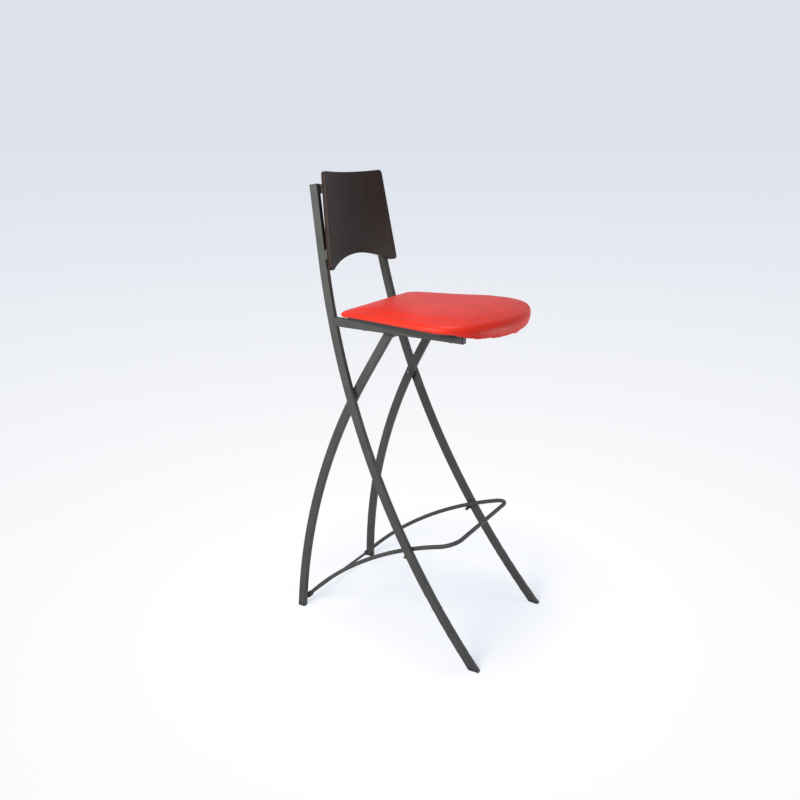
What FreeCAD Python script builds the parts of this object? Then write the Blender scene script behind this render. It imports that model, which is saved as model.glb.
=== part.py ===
import FreeCAD, Part
import math
import os

from FreeCAD import Vector

os.makedirs("parts", exist_ok=True)

# Folding bar stool. Millimetres, +Z up, front of the seat toward -Y, floor at Z 0.
# Side-view positions are given as (s, z): s runs forward from the bend of the uprights.

# frame tube, used for uprights, rear legs and seat rails
TUBE_DEPTH = 20.0
TUBE_WIDTH = 14.0
TUBE_WALL = 1.5
TUBE_CORNER = 2.5
ARC_SPANS = 4

# side view
S_ORIGIN_Y = 186.65
RAIL_TOP_Z = 764.0
HINGE_UNDER_TOP = 7.2
TOP_TUBE_UNDER_TOP = 29.6
UPRIGHT_TOP = (-27.0, 1053.2)
UPRIGHT_BEND = (0.0, 900.7)
UPRIGHT_FOOT = (436.5, 0.0)
REAR_TOP = (171.4, RAIL_TOP_Z - TOP_TUBE_UNDER_TOP)
REAR_BEND = (118.9, 643.4)
REAR_FOOT = (-66.6, 0.0)
SEAT_HINGE = (57.1, RAIL_TOP_Z - HINGE_UNDER_TOP)
LEG_PIVOT = (86.4, 583.0)
LOWER_ROD = (-61.2, 20.5)

# outer faces of the side frames: x = base - per_z * z - per_s * s
UPRIGHT_BASE = 204.0
UPRIGHT_PER_Z = 0.0883
UPRIGHT_PER_S = 0.0605
REAR_BASE = 161.2
REAR_PER_Z = 0.0479
REAR_PER_S = 0.0354

# feet and caps
GLIDE_HEIGHT = 7.0
PLUG_DEPTH = 20.0
PLUG_GAP = 0.1
TOP_CAP = 2.5

# backrest, placed along the straight top of the uprights (t) and forward of their centre line (off);
# the panel stands more upright than they do, turned about a line at one height
BACK_RAIL_HEIGHT = 20.0
BACK_RAIL_THICK = 5.0
BACK_RAIL_PAD_X = 88.0
UPPER_RAIL_T = 143.2
UPPER_RAIL_BACK = -4.0
LOWER_RAIL_T = -1.0
PANEL_TURN_T = 70.0
PANEL_TURN = 3.0
PANEL_OFF = 7.3
PANEL_THICK = 10.2
PANEL_RADIUS = 450.0
PANEL_TOP_HALF = 112.2
PANEL_TOP_T = 177.9
PANEL_TOP_MID_T = 175.2
PANEL_LOW_HALF = 137.2
PANEL_LOW_T = -37.9
ARCH_RADIUS = 280.0
ARCH_TOP_T = -10.4
PANEL_TOP_CORNER = 10.0
PANEL_LOW_CORNER = 8.0
ARCH_FILLET = 22.0
PANEL_EDGE = 1.5
BACK_SCREW_X = 56.0
BACK_SCREW_R = 2.5
BACK_SCREW_HEAD_R = 4.8
BACK_SCREW_HEAD = 2.6
BACK_SCREW_BITE = 7.0
SCREW_SEAT = 0.5
SCREW_CLEAR = 0.05
HEAD_EDGE = 0.8

# seat rails and hinge
RAIL_OUTER_X = 137.0
RAIL_FRONT_S = 368.5
RAIL_CAP = 2.5
RAIL_END_R = 14.3
KNUCKLE_R = 14.7
HINGE_ROOT_S = 30.0
TONGUE_THICK = 6.5
TONGUE_R = 5.4
TONGUE_SLOT = 8.0
SLOT_AHEAD = 9.0
HINGE_PIN_R = 2.5
HINGE_BORE_R = 2.55
HINGE_HEAD_R = 4.6
HINGE_HEAD = 1.4
HINGE_PIN_END = 0.4
SEAT_TUBE_R = 8.0
SEAT_TUBE_S = 330.0

# seat board and cushion, outline as line, corner arc, side line, corner arc, front arc
PAD_REAR_S = 60.7
PAD_FRONT_S = 434.0
PAD_REAR_HALF = 150.5
PAD_WIDE_S = 419.2
PAD_WIDE_HALF = 205.0
PAD_REAR_R = 25.5
PAD_CORNER_R = 107.0
PAD_FRONT_R = 296.0
PAD_CENTRE_S = 245.0
PAD_RIM_THICK = 15.4
PAD_UNDER_Z = RAIL_TOP_Z + 5.0
PAD_LIP_Z = RAIL_TOP_Z - 9.2
PAD_LIP_FROM_S = 360.0
PAD_LIP_TO_S = 424.0
PAD_WIDE_Z = RAIL_TOP_Z + 11.2
PAD_TOP_Z = PAD_UNDER_Z + PAD_RIM_THICK
PAD_TOP_RISE = 0.012
PAD_CROWN = 9.6
PAD_SHOULDER = 18.9
SHOULDER_STEPS = 6
CROWN_RINGS = (0.86, 0.72, 0.56, 0.38, 0.2)
CROWN_POWER = 3.4
PAD_TUCK = 4.0
PAD_LIP_THICK = 11.0
BOARD_INSET = 16.0
BOARD_THICK = 10.0
BOARD_GAP = 0.3
SEAT_SCREW_S = (120.0, 338.0)
SEAT_SCREW_R = 2.0
SEAT_SCREW_HEAD_R = 4.0
SEAT_SCREW_HEAD = 2.0
SEAT_SCREW_BITE = 8.0

# rear frame
TOP_TUBE_R = 8.0
TOP_TUBE_WALL = 1.5
LOWER_ROD_R = 3.5
SADDLE_INNER_X = 66.0
SADDLE_WIDTH = 22.0
SADDLE_GAP = 0.15
SADDLE_BACK = 11.0
SADDLE_FRONT = 21.0
SADDLE_DROP = 5.0
SADDLE_ROUND = 6.0

# crossing of the legs
STUD_R = 4.0
STUD_BORE_R = 4.05
STUD_RECESS = 0.8
SPACER_R = 7.5
SPACER_GAP = 0.62
NUT_R = 6.5
NUT_THICK = 7.0
NUT_WALL = 2.0
NUT_DOME = 2.2
NUT_GAP = 0.6

# footrest
ROD_R = 5.0
ROD_REAR_X = 134.0
ROD_FRONT_X = 146.6
ROD_MID = (139.6, 185.6)
ROD_END = (327.7, 270.4)
ROD_BEND = 38.0
ROD_SEAM = 50.0
EYE_NECK = 9.0
EYE_R = 7.0
EYE_BORE_R = 3.55
EYE_LENGTH = 14.0
REST_PIN_R = 4.0
REST_PIN_GAP = 0.25
REST_PIN_INNER_X = 135.5
REST_SAMPLES = 400

FAR = 2500.0
X_AXIS = Vector(1, 0, 0)


def side(s, z, x=0.0):
    """Point from a side-view position."""
    return Vector(x, S_ORIGIN_Y - s, z)


def mirrored(shape):
    """The same shape on the other side."""
    return shape.mirror(Vector(0, 0, 0), X_AXIS)


def both(shape):
    """A shape and its mirror image as one compound."""
    return Part.makeCompound([shape, mirrored(shape)])


def cylinder_x(x0, x1, s, z, radius):
    """Cylinder along X between two x values."""
    return Part.makeCylinder(radius, x1 - x0, side(s, z, x0), X_AXIS)


def box_side(x0, x1, s0, s1, z0, z1):
    """Box given in side-view terms."""
    corner = Vector(x0, S_ORIGIN_Y - s1, z0)
    return Part.makeBox(x1 - x0, s1 - s0, z1 - z0, corner)


def slab(z0, z1):
    """Everything between two heights."""
    return Part.makeBox(FAR, FAR, z1 - z0, Vector(-FAR / 2, -FAR / 2, z0))


class SideFrame:
    """The tilted plane in which one bent tube of a side frame lies."""

    def __init__(self, base, per_z, per_s):
        self.base = base
        self.per_z = per_z
        self.per_s = per_s
        normal = Vector(1.0, -per_s, per_z)
        self.slant = normal.Length
        normal.normalize()
        self.normal = normal
        self.turn = FreeCAD.Rotation(X_AXIS, normal)

    def outer_x(self, s, z):
        """x of the outer face."""
        return self.base - self.per_z * z - self.per_s * s

    def inner_x(self, s, z):
        """x of the inner face."""
        return self.outer_x(s, z) - TUBE_WIDTH * self.slant

    def centre(self, s, z):
        """Point on the middle plane of the tube."""
        return side(s, z, self.outer_x(s, z) - TUBE_WIDTH * self.slant / 2)

    def block(self, depth_in, depth_out):
        """Slab between two planes parallel to the frame, measured inward from the outer face."""
        thick = depth_out - depth_in
        box = Part.makeBox(thick, FAR, FAR, Vector(-thick, -FAR / 2, -FAR / 2))
        base = side(0, 0, self.base) - self.normal * depth_in
        box.Placement = FreeCAD.Placement(base, self.turn)
        return box


class BentTube:
    """A straight length that runs on into one arc, in the plane of its side frame."""

    def __init__(self, frame, top, bend, foot, extend_top, extend_foot):
        self.frame = frame
        self.top = frame.centre(*top)
        self.bend = frame.centre(*bend)
        foot_point = frame.centre(*foot)
        self.up = (self.top - self.bend).normalize()
        toward = foot_point - self.bend
        across = toward - self.up * toward.dot(self.up)
        across.normalize()
        self.radius = toward.Length ** 2 / (2 * toward.dot(across))
        self.centre = self.bend + across * self.radius
        self.across = across
        self.start = self.top + self.up * extend_top
        sweep = self.angle_of(foot_point) + extend_foot / self.radius
        self.sweep = sweep

    def angle_of(self, point):
        """Angle round the arc from the bend to a point on it."""
        ray = point - self.centre
        along = -ray.dot(self.across)
        down = -ray.dot(self.up)
        return math.atan2(down, along)

    def section(self, base, width, depth, corner):
        """Rectangle across the tube at a point of its centre line, with rounded or sharp corners."""
        w = width / 2
        d = depth / 2
        wide = self.frame.normal
        deep = self.across
        k = corner * (1 - math.sqrt(0.5))

        def at(a, b):
            return base + wide * a + deep * b

        quads = [(1, 1), (-1, 1), (-1, -1), (1, -1)]
        if corner == 0:
            points = [at(sx * w, sy * d) for sx, sy in quads]
            return Part.Face(Part.makePolygon(points + points[:1]))
        edges = []
        ends = []
        for sx, sy in quads:
            on_side = at(sx * w, sy * (d - corner))
            on_face = at(sx * (w - corner), sy * d)
            mid = at(sx * (w - k), sy * (d - k))
            pair = (on_side, mid, on_face)
            if sx * sy < 0:
                pair = (on_face, mid, on_side)
            ends.append(pair)
        for index, pair in enumerate(ends):
            edges.append(Part.Arc(*pair).toShape())
            following = ends[(index + 1) % 4]
            edges.append(Part.makeLine(pair[2], following[0]))
        return Part.Face(Part.Wire(edges))

    def solid(self, shrink=0.0):
        """Bar along the whole centre line, rounded outside, and square where it is shrunk."""
        size = (TUBE_WIDTH - 2 * shrink, TUBE_DEPTH - 2 * shrink, 0 if shrink else TUBE_CORNER)
        straight = self.section(self.start, *size).extrude(self.bend - self.start)
        axis = self.across.cross(self.up)
        step = math.degrees(self.sweep) / ARC_SPANS
        spans = []
        for index in range(ARC_SPANS):
            face = self.section(self.bend, *size)
            face.rotate(self.centre, axis, step * index)
            spans.append(face.revolve(self.centre, axis, step))
        return straight.fuse(spans)

    def above(self, distance):
        """Half space beyond a plane across the tube, a distance below its top point."""
        box = Part.makeBox(FAR, FAR, FAR, Vector(-FAR / 2, -FAR / 2, 0))
        turn = FreeCAD.Rotation(Vector(0, 0, 1), self.up)
        box.Placement = FreeCAD.Placement(self.top - self.up * distance, turn)
        return box


upright_frame = SideFrame(UPRIGHT_BASE, UPRIGHT_PER_Z, UPRIGHT_PER_S)
rear_frame = SideFrame(REAR_BASE, REAR_PER_Z, REAR_PER_S)

upright = BentTube(upright_frame, UPRIGHT_TOP, UPRIGHT_BEND, UPRIGHT_FOOT, 0.0, 30.0)
rear = BentTube(rear_frame, REAR_TOP, REAR_BEND, REAR_FOOT, 0.0, 30.0)

upright_bar = upright.solid()
upright_core = upright.solid(TUBE_WALL)
upright_plug = upright.solid(TUBE_WALL + PLUG_GAP)
rear_bar = rear.solid()
rear_core = rear.solid(TUBE_WALL)
rear_plug = rear.solid(TUBE_WALL + PLUG_GAP)

# uprights with their caps and glides
stud_hole = cylinder_x(0, UPRIGHT_BASE, *LEG_PIVOT, STUD_R)
upright_tube = upright_bar.cut(upright_core).common(slab(GLIDE_HEIGHT, FAR))
upright_tube = upright_tube.cut(upright.above(TOP_CAP)).cut(stud_hole)
top_cap = upright_bar.common(upright.above(TOP_CAP))
top_plug = upright_plug.common(upright.above(TOP_CAP + PLUG_DEPTH))
top_cap = top_cap.fuse(top_plug.cut(upright.above(TOP_CAP))).removeSplitter()
front_glide = upright_bar.common(slab(0, GLIDE_HEIGHT))
front_glide = front_glide.fuse(upright_plug.common(slab(GLIDE_HEIGHT, GLIDE_HEIGHT + PLUG_DEPTH)))
front_glide = front_glide.removeSplitter()

# rear legs with rounded plastic tops and glides
bore = cylinder_x(0, UPRIGHT_BASE, *LEG_PIVOT, STUD_BORE_R)
rear_tube = rear_bar.cut(rear_core).common(slab(GLIDE_HEIGHT, FAR)).cut(bore)
rear_glide = rear_bar.common(slab(0, GLIDE_HEIGHT))
rear_glide = rear_glide.fuse(rear_plug.common(slab(GLIDE_HEIGHT, GLIDE_HEIGHT + PLUG_DEPTH)))
rear_glide = rear_glide.removeSplitter()
round_top = cylinder_x(0, UPRIGHT_BASE, *REAR_TOP, TUBE_DEPTH / 2)
rear_cap = round_top.common(rear_frame.block(0, TUBE_WIDTH)).common(rear.above(0.0))
rear_cap_plug = rear_plug.common(rear.above(PLUG_DEPTH))
rear_cap = rear_cap.fuse(rear_cap_plug).removeSplitter()

# cross members of the rear frame
top_tube = cylinder_x(-UPRIGHT_BASE, UPRIGHT_BASE, *REAR_TOP, TOP_TUBE_R)
top_tube = top_tube.cut(cylinder_x(-UPRIGHT_BASE, UPRIGHT_BASE, *REAR_TOP, TOP_TUBE_R - TOP_TUBE_WALL))
rear_inside = rear_frame.block(TUBE_WIDTH, FAR)
rear_inside = rear_inside.common(mirrored(rear_inside))
top_tube = top_tube.common(rear_inside)
lower_rod = cylinder_x(-UPRIGHT_BASE, UPRIGHT_BASE, *LOWER_ROD, LOWER_ROD_R).common(rear_inside)

# crossing studs, spacers and cap nuts
pivot_outer = upright_frame.outer_x(*LEG_PIVOT)
pivot_gap_out = upright_frame.inner_x(*LEG_PIVOT)
pivot_gap_in = rear_frame.outer_x(*LEG_PIVOT)
pivot_inner = rear_frame.inner_x(*LEG_PIVOT)
nut_face = pivot_inner - NUT_GAP
nut_end = nut_face - NUT_THICK
stud = cylinder_x(nut_end + NUT_WALL, pivot_outer - STUD_RECESS, *LEG_PIVOT, STUD_R)
spacer = cylinder_x(pivot_gap_in + SPACER_GAP, pivot_outer, *LEG_PIVOT, SPACER_R)
spacer = spacer.cut(bore).common(upright_frame.block(TUBE_WIDTH, UPRIGHT_BASE))
nut = cylinder_x(nut_end, nut_face, *LEG_PIVOT, NUT_R)
nut_rim = [e for e in nut.Edges if e.Closed and e.CenterOfMass.x < nut_end + NUT_WALL]
nut = nut.makeChamfer(NUT_DOME, nut_rim[:1])
nut = nut.cut(cylinder_x(nut_end + NUT_WALL, nut_face, *LEG_PIVOT, STUD_R))

# backrest axes: t up the straight part, off forward of it
lean = math.atan2(UPRIGHT_BEND[0] - UPRIGHT_TOP[0], UPRIGHT_TOP[1] - UPRIGHT_BEND[1])
back_up = Vector(0, math.sin(lean), math.cos(lean))
back_out = Vector(0, -math.cos(lean), math.sin(lean))
back_base = side(*UPRIGHT_BEND)


def back(x, t, off):
    """Point from backrest coordinates."""
    return back_base + Vector(x, 0, 0) + back_up * t + back_out * off


def back_box(x0, x1, t0, t1, off0, off1):
    """Box square to the backrest."""
    corners = [back(x0, t0, off0), back(x1, t0, off0), back(x1, t1, off0), back(x0, t1, off0)]
    face = Part.Face(Part.makePolygon(corners + corners[:1]))
    return face.extrude(back_out * (off1 - off0))


turn = math.radians(PANEL_TURN)
panel_up = back_up * math.cos(turn) + back_out * math.sin(turn)
panel_out = back_out * math.cos(turn) - back_up * math.sin(turn)
panel_base = back(0, PANEL_TURN_T, 0)


def panel_point(x, t, off):
    """Point from the panel's own coordinates, t measured as on the uprights."""
    return panel_base + Vector(x, 0, 0) + panel_up * (t - PANEL_TURN_T) + panel_out * off


def panel_cylinder(radius):
    """Long cylinder round the axis of the panel's curve, its seam turned away from the panel."""
    start = panel_point(0, PANEL_LOW_T - FAR / 4, PANEL_OFF + PANEL_RADIUS)
    cylinder = Part.makeCylinder(radius, FAR / 2, start, panel_up)
    cylinder.rotate(start, panel_up, 90)
    return cylinder


def from_axis(point):
    """Distance of a point from the axis of the panel's curve."""
    ray = point - panel_point(0, PANEL_TURN_T, PANEL_OFF + PANEL_RADIUS)
    return (ray - panel_up * ray.dot(panel_up)).Length


panel_back = panel_cylinder(PANEL_RADIUS)
panel_front = panel_cylinder(PANEL_RADIUS - PANEL_THICK)
rail_back = panel_cylinder(PANEL_RADIUS + BACK_RAIL_THICK)
outside_posts = upright_frame.block(0, FAR)
outside_posts = outside_posts.common(mirrored(outside_posts))
inside_posts = upright_frame.block(TUBE_WIDTH, FAR)
inside_posts = inside_posts.common(mirrored(inside_posts))


def back_rail(t, reach, pad_back):
    """Flat bar bent to the back of the panel, with a block at each end that meets the upright."""
    half = BACK_RAIL_HEIGHT / 2
    deep = PANEL_RADIUS / 2
    bar = back_box(-UPRIGHT_BASE, UPRIGHT_BASE, t - half, t + half, -deep, deep).common(rail_back)
    pad = back_box(BACK_RAIL_PAD_X, UPRIGHT_BASE, t - half, t + half, pad_back, deep)
    rail = bar.fuse([pad, mirrored(pad)]).cut(panel_back)
    rail = rail.common(reach).cut(both(upright_bar)).removeSplitter()
    return max(rail.Solids, key=lambda solid: solid.Volume)


def back_screw(x, t, shank_r):
    """Pan-head screw from behind, through the rail into the panel."""
    off = PANEL_OFF + math.tan(turn) * (t - PANEL_TURN_T) + x * x / (2 * PANEL_RADIUS) - BACK_RAIL_THICK
    root = back(x, t, off)
    inward = (root - panel_point(0, t, PANEL_OFF + PANEL_RADIUS)).normalize() * -1
    root = root - inward * SCREW_SEAT
    shank = Part.makeCylinder(shank_r, SCREW_SEAT + BACK_RAIL_THICK + BACK_SCREW_BITE, root, inward)
    head = Part.makeCylinder(BACK_SCREW_HEAD_R, BACK_SCREW_HEAD, root, inward * -1)
    rim = [e for e in head.Edges if e.Closed and (e.CenterOfMass - root).Length > BACK_SCREW_HEAD / 2]
    head = head.makeChamfer(HEAD_EDGE, rim[:1])
    return shank, head


def panel_outline():
    """Trapezoid with a dipped top edge and an arch below."""
    def at(x, t):
        return panel_point(x, t, 0)

    arch_drop = ARCH_RADIUS - (ARCH_TOP_T - PANEL_LOW_T)
    arch_half = math.sqrt(ARCH_RADIUS ** 2 - arch_drop ** 2)
    top_left = at(-PANEL_TOP_HALF, PANEL_TOP_T)
    top = Part.Arc(top_left, at(0, PANEL_TOP_MID_T), at(PANEL_TOP_HALF, PANEL_TOP_T))
    arch = Part.Arc(at(arch_half, PANEL_LOW_T), at(0, ARCH_TOP_T), at(-arch_half, PANEL_LOW_T))
    edges = [
        top.toShape(),
        Part.makeLine(at(PANEL_TOP_HALF, PANEL_TOP_T), at(PANEL_LOW_HALF, PANEL_LOW_T)),
        Part.makeLine(at(PANEL_LOW_HALF, PANEL_LOW_T), at(arch_half, PANEL_LOW_T)),
        arch.toShape(),
        Part.makeLine(at(-arch_half, PANEL_LOW_T), at(-PANEL_LOW_HALF, PANEL_LOW_T)),
        Part.makeLine(at(-PANEL_LOW_HALF, PANEL_LOW_T), at(-PANEL_TOP_HALF, PANEL_TOP_T)),
    ]
    corners = [
        (PANEL_TOP_HALF, PANEL_TOP_T, PANEL_TOP_CORNER),
        (PANEL_LOW_HALF, PANEL_LOW_T, PANEL_LOW_CORNER),
        (arch_half, PANEL_LOW_T, ARCH_FILLET),
    ]
    return Part.Wire(edges), corners


def back_panel():
    """Curved wooden panel with rounded corners and an eased front edge."""
    outline, corners = panel_outline()
    block = Part.Face(outline).extrude(panel_out * (PANEL_RADIUS / 2))
    for x, t, radius in corners:
        for corner in (panel_point(x, t, 0), panel_point(-x, t, 0)):
            near = [e for e in block.Edges if any((v.Point - corner).Length < 0.01 for v in e.Vertexes)]
            upright_edge = [e for e in near if abs(e.tangentAt(e.FirstParameter).dot(panel_out)) > 0.999]
            block = block.makeFillet(radius, upright_edge)
    panel = block.common(panel_back).cut(panel_front).Solids[0]
    front = PANEL_RADIUS - PANEL_THICK
    rim = [e for e in panel.Edges if all(abs(from_axis(v.Point) - front) < 0.01 for v in e.Vertexes)]
    return panel.makeChamfer(PANEL_EDGE, rim)


back_upper = back_rail(UPPER_RAIL_T, inside_posts, UPPER_RAIL_BACK)
back_lower = back_rail(LOWER_RAIL_T, outside_posts, TUBE_DEPTH / 2)
panel = back_panel()
screws = []
for t in (UPPER_RAIL_T, LOWER_RAIL_T):
    for x in (-BACK_SCREW_X, BACK_SCREW_X):
        hole, _ = back_screw(x, t, BACK_SCREW_R + SCREW_CLEAR)
        shank, head = back_screw(x, t, BACK_SCREW_R)
        back_upper = back_upper.cut(hole)
        back_lower = back_lower.cut(hole)
        panel = panel.cut(hole)
        screws.append(shank.fuse(head).removeSplitter())

# hinge knuckles on the uprights
rail_inner_x = RAIL_OUTER_X - TUBE_WIDTH
rail_bottom_z = RAIL_TOP_Z - TUBE_DEPTH
rail_mid_x = (RAIL_OUTER_X + rail_inner_x) / 2


def rail_section_bar(s0, s1, shrink=0.0):
    """Bar with the rail's section, rounded outside, and square where it is shrunk."""
    x0 = rail_inner_x + shrink
    x1 = RAIL_OUTER_X - shrink
    box = box_side(x0, x1, s0, s1, rail_bottom_z + shrink, RAIL_TOP_Z - shrink)
    if shrink:
        return box
    edges = [e for e in box.Edges if abs(e.Vertexes[0].Point.y - e.Vertexes[1].Point.y) > 1.0]
    return box.makeFillet(TUBE_CORNER, edges)


arc_centre = Vector(0, upright.centre.y, upright.centre.z)
ahead_dir = (arc_centre - side(HINGE_ROOT_S, SEAT_HINGE[1])).normalize()
ahead_base = arc_centre - ahead_dir * (upright.radius - TUBE_DEPTH / 2)
ahead = Part.makeBox(FAR, FAR, FAR, Vector(-FAR / 2, -FAR / 2, 0))
ahead.Placement = FreeCAD.Placement(ahead_base, FreeCAD.Rotation(Vector(0, 0, 1), ahead_dir))
knuckle = rail_section_bar(0.0, SEAT_HINGE[0]).common(ahead)
knuckle = knuckle.cut(cylinder_x(0, UPRIGHT_BASE, *SEAT_HINGE, KNUCKLE_R)).cut(upright_bar)
knuckle = max(knuckle.Solids, key=lambda solid: solid.Volume)
tongue_x0 = rail_mid_x - TONGUE_THICK / 2
tongue_x1 = rail_mid_x + TONGUE_THICK / 2
neck_z0 = SEAT_HINGE[1] - TONGUE_R
neck_z1 = SEAT_HINGE[1] + TONGUE_R
neck = box_side(tongue_x0, tongue_x1, 0.0, SEAT_HINGE[0], neck_z0, neck_z1)
neck = neck.common(ahead)
tongue = neck.fuse(cylinder_x(tongue_x0, tongue_x1, *SEAT_HINGE, TONGUE_R))
tongue = tongue.cut(cylinder_x(0, UPRIGHT_BASE, *SEAT_HINGE, HINGE_BORE_R)).cut(upright_bar)
tongue = max(tongue.Solids, key=lambda solid: solid.Volume)
knuckle = knuckle.fuse(tongue).removeSplitter()

# seat rails
rail = rail_section_bar(0.0, RAIL_FRONT_S)
rail = rail.cut(rail_section_bar(0.0, RAIL_FRONT_S, TUBE_WALL))
rail_end = cylinder_x(0, UPRIGHT_BASE, *SEAT_HINGE, RAIL_END_R)
rail_end = rail_end.fuse(box_side(0, UPRIGHT_BASE, SEAT_HINGE[0], RAIL_FRONT_S, rail_bottom_z, RAIL_TOP_Z))
rail = rail.common(rail_end)
slot_x0 = rail_mid_x - TONGUE_SLOT / 2
slot_x1 = rail_mid_x + TONGUE_SLOT / 2
slot_top = box_side(slot_x0, slot_x1, 0.0, SEAT_HINGE[0] + SLOT_AHEAD, SEAT_HINGE[1], RAIL_TOP_Z)
rail = rail.cut(slot_top)
rail = rail.cut(cylinder_x(0, UPRIGHT_BASE, *SEAT_HINGE, HINGE_PIN_R))

rail_cap = rail_section_bar(RAIL_FRONT_S, RAIL_FRONT_S + RAIL_CAP)
rail_cap_plug = rail_section_bar(RAIL_FRONT_S - PLUG_DEPTH, RAIL_FRONT_S, TUBE_WALL + PLUG_GAP)
rail_cap = rail_cap.fuse(rail_cap_plug).removeSplitter()

hinge_pin = cylinder_x(rail_inner_x - HINGE_PIN_END, RAIL_OUTER_X, *SEAT_HINGE, HINGE_PIN_R)
pin_head = cylinder_x(RAIL_OUTER_X, RAIL_OUTER_X + HINGE_HEAD, *SEAT_HINGE, HINGE_HEAD_R)
head_rim = [e for e in pin_head.Edges if e.Closed and e.CenterOfMass.x > RAIL_OUTER_X + HINGE_HEAD / 2]
pin_head = pin_head.makeChamfer(HEAD_EDGE, head_rim[:1])
hinge_pin = hinge_pin.fuse(pin_head).removeSplitter()

seat_tube_at = (SEAT_TUBE_S, (rail_bottom_z + RAIL_TOP_Z) / 2)
seat_tube = cylinder_x(-rail_inner_x, rail_inner_x, *seat_tube_at, SEAT_TUBE_R)
seat_tube = seat_tube.cut(cylinder_x(-rail_inner_x, rail_inner_x, *seat_tube_at, SEAT_TUBE_R - TUBE_WALL))


class SeatOutline:
    """Plan outline of the seat, drawn in by an inset and scaled about its middle."""

    def __init__(self, inset, scale=1.0, rise=0.0):
        self.scale = scale
        self.rise = rise
        run = Vector(PAD_WIDE_S - PAD_REAR_S, PAD_WIDE_HALF - PAD_REAR_HALF, 0).normalize()
        inward = Vector(run.y, -run.x, 0)
        start = Vector(PAD_REAR_S, PAD_REAR_HALF, 0) + inward * inset
        rear_s = PAD_REAR_S + inset
        rear_r = max(PAD_REAR_R - inset, 4.0)
        cs = rear_s + rear_r
        cx = start.y + (rear_r - (cs - start.x) * inward.x) / inward.y
        self.rear_corner = Vector(cs, cx, 0)
        self.rear_r = rear_r
        self.p_rear = Vector(rear_s, cx, 0)
        self.p_side0 = self.rear_corner - inward * rear_r
        big_centre = Vector(PAD_FRONT_S - PAD_FRONT_R, 0, 0)
        big_r = PAD_FRONT_R - inset
        corner_r = PAD_CORNER_R - inset
        q = start + inward * corner_r - big_centre
        b = q.dot(run)
        c = q.dot(q) - (big_r - corner_r) ** 2
        centre = start + inward * corner_r + run * (-b + math.sqrt(b * b - c))
        self.front_corner = centre
        self.corner_r = corner_r
        self.p_side1 = centre - inward * corner_r
        ray = (centre - big_centre).normalize()
        self.p_front = big_centre + ray * big_r
        self.p_nose = big_centre + Vector(big_r, 0, 0)

    def point(self, p, z, flip=1):
        """A plan point as a 3-D point."""
        forward = (p.x - PAD_CENTRE_S) * self.scale
        return side(PAD_CENTRE_S + forward, z + self.rise * forward, p.y * self.scale * flip)

    def wire(self, z):
        """Closed wire of lines and arcs at a height."""
        rear_ray = self.p_rear + self.p_side0 - self.rear_corner * 2
        mid_rear = self.rear_corner + rear_ray.normalize() * self.rear_r
        corner_ray = self.p_side1 + self.p_front - self.front_corner * 2
        mid_corner = self.front_corner + corner_ray.normalize() * self.corner_r

        def at(p, flip):
            return self.point(p, z, flip)

        def arc(a, b, c, flip):
            return Part.Arc(at(a, flip), at(b, flip), at(c, flip)).toShape()

        nose = Part.Arc(at(self.p_front, 1), at(self.p_nose, 1), at(self.p_front, -1))
        return Part.Wire([
            Part.makeLine(at(self.p_rear, -1), at(self.p_rear, 1)),
            arc(self.p_rear, mid_rear, self.p_side0, 1),
            Part.makeLine(at(self.p_side0, 1), at(self.p_side1, 1)),
            arc(self.p_side1, mid_corner, self.p_front, 1),
            nose.toShape(),
            arc(self.p_front, mid_corner, self.p_side1, -1),
            Part.makeLine(at(self.p_side1, -1), at(self.p_side0, -1)),
            arc(self.p_side0, mid_rear, self.p_rear, -1),
        ])

    def prism(self, z0, z1):
        """Straight-sided block between two heights."""
        return Part.Face(self.wire(z0)).extrude(Vector(0, 0, z1 - z0))


def cushion():
    """Crowned cushion with a rounded shoulder and a lip that hangs over the front."""
    sections = [SeatOutline(PAD_TUCK).wire(PAD_LIP_Z - PAD_TUCK)]
    sections.append(SeatOutline(PAD_TUCK / 2).wire(PAD_UNDER_Z - PAD_TUCK / 2))
    for k in range(SHOULDER_STEPS + 1):
        angle = math.pi / 2 * k / SHOULDER_STEPS
        inset = PAD_SHOULDER * (1 - math.cos(angle))
        level = PAD_WIDE_Z + (PAD_TOP_Z - PAD_WIDE_Z) * math.sin(angle)
        sections.append(SeatOutline(inset, rise=PAD_TOP_RISE * math.sin(angle)).wire(level))
    for scale in CROWN_RINGS:
        height = PAD_TOP_Z + PAD_CROWN * (1 - scale ** CROWN_POWER)
        sections.append(SeatOutline(PAD_SHOULDER, scale, PAD_TOP_RISE).wire(height))
    body = Part.makeLoft(sections, True, True)
    profile = [
        side(0, PAD_UNDER_Z, -FAR / 2),
        side(PAD_LIP_FROM_S, PAD_UNDER_Z, -FAR / 2),
        side(PAD_LIP_TO_S, PAD_LIP_Z, -FAR / 2),
        side(FAR, PAD_LIP_Z, -FAR / 2),
        side(FAR, 0, -FAR / 2),
        side(0, 0, -FAR / 2),
    ]
    under = Part.Face(Part.makePolygon(profile + profile[:1])).extrude(Vector(FAR, 0, 0))
    body = body.cut(under)
    body = body.cut(SeatOutline(PAD_LIP_THICK).prism(rail_bottom_z, PAD_UNDER_Z))
    pocket = SeatOutline(BOARD_INSET - BOARD_GAP).prism(rail_bottom_z, RAIL_TOP_Z + BOARD_THICK + BOARD_GAP)
    return body.cut(pocket)


pad = cushion()
board = SeatOutline(BOARD_INSET).prism(RAIL_TOP_Z, RAIL_TOP_Z + BOARD_THICK)

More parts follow.
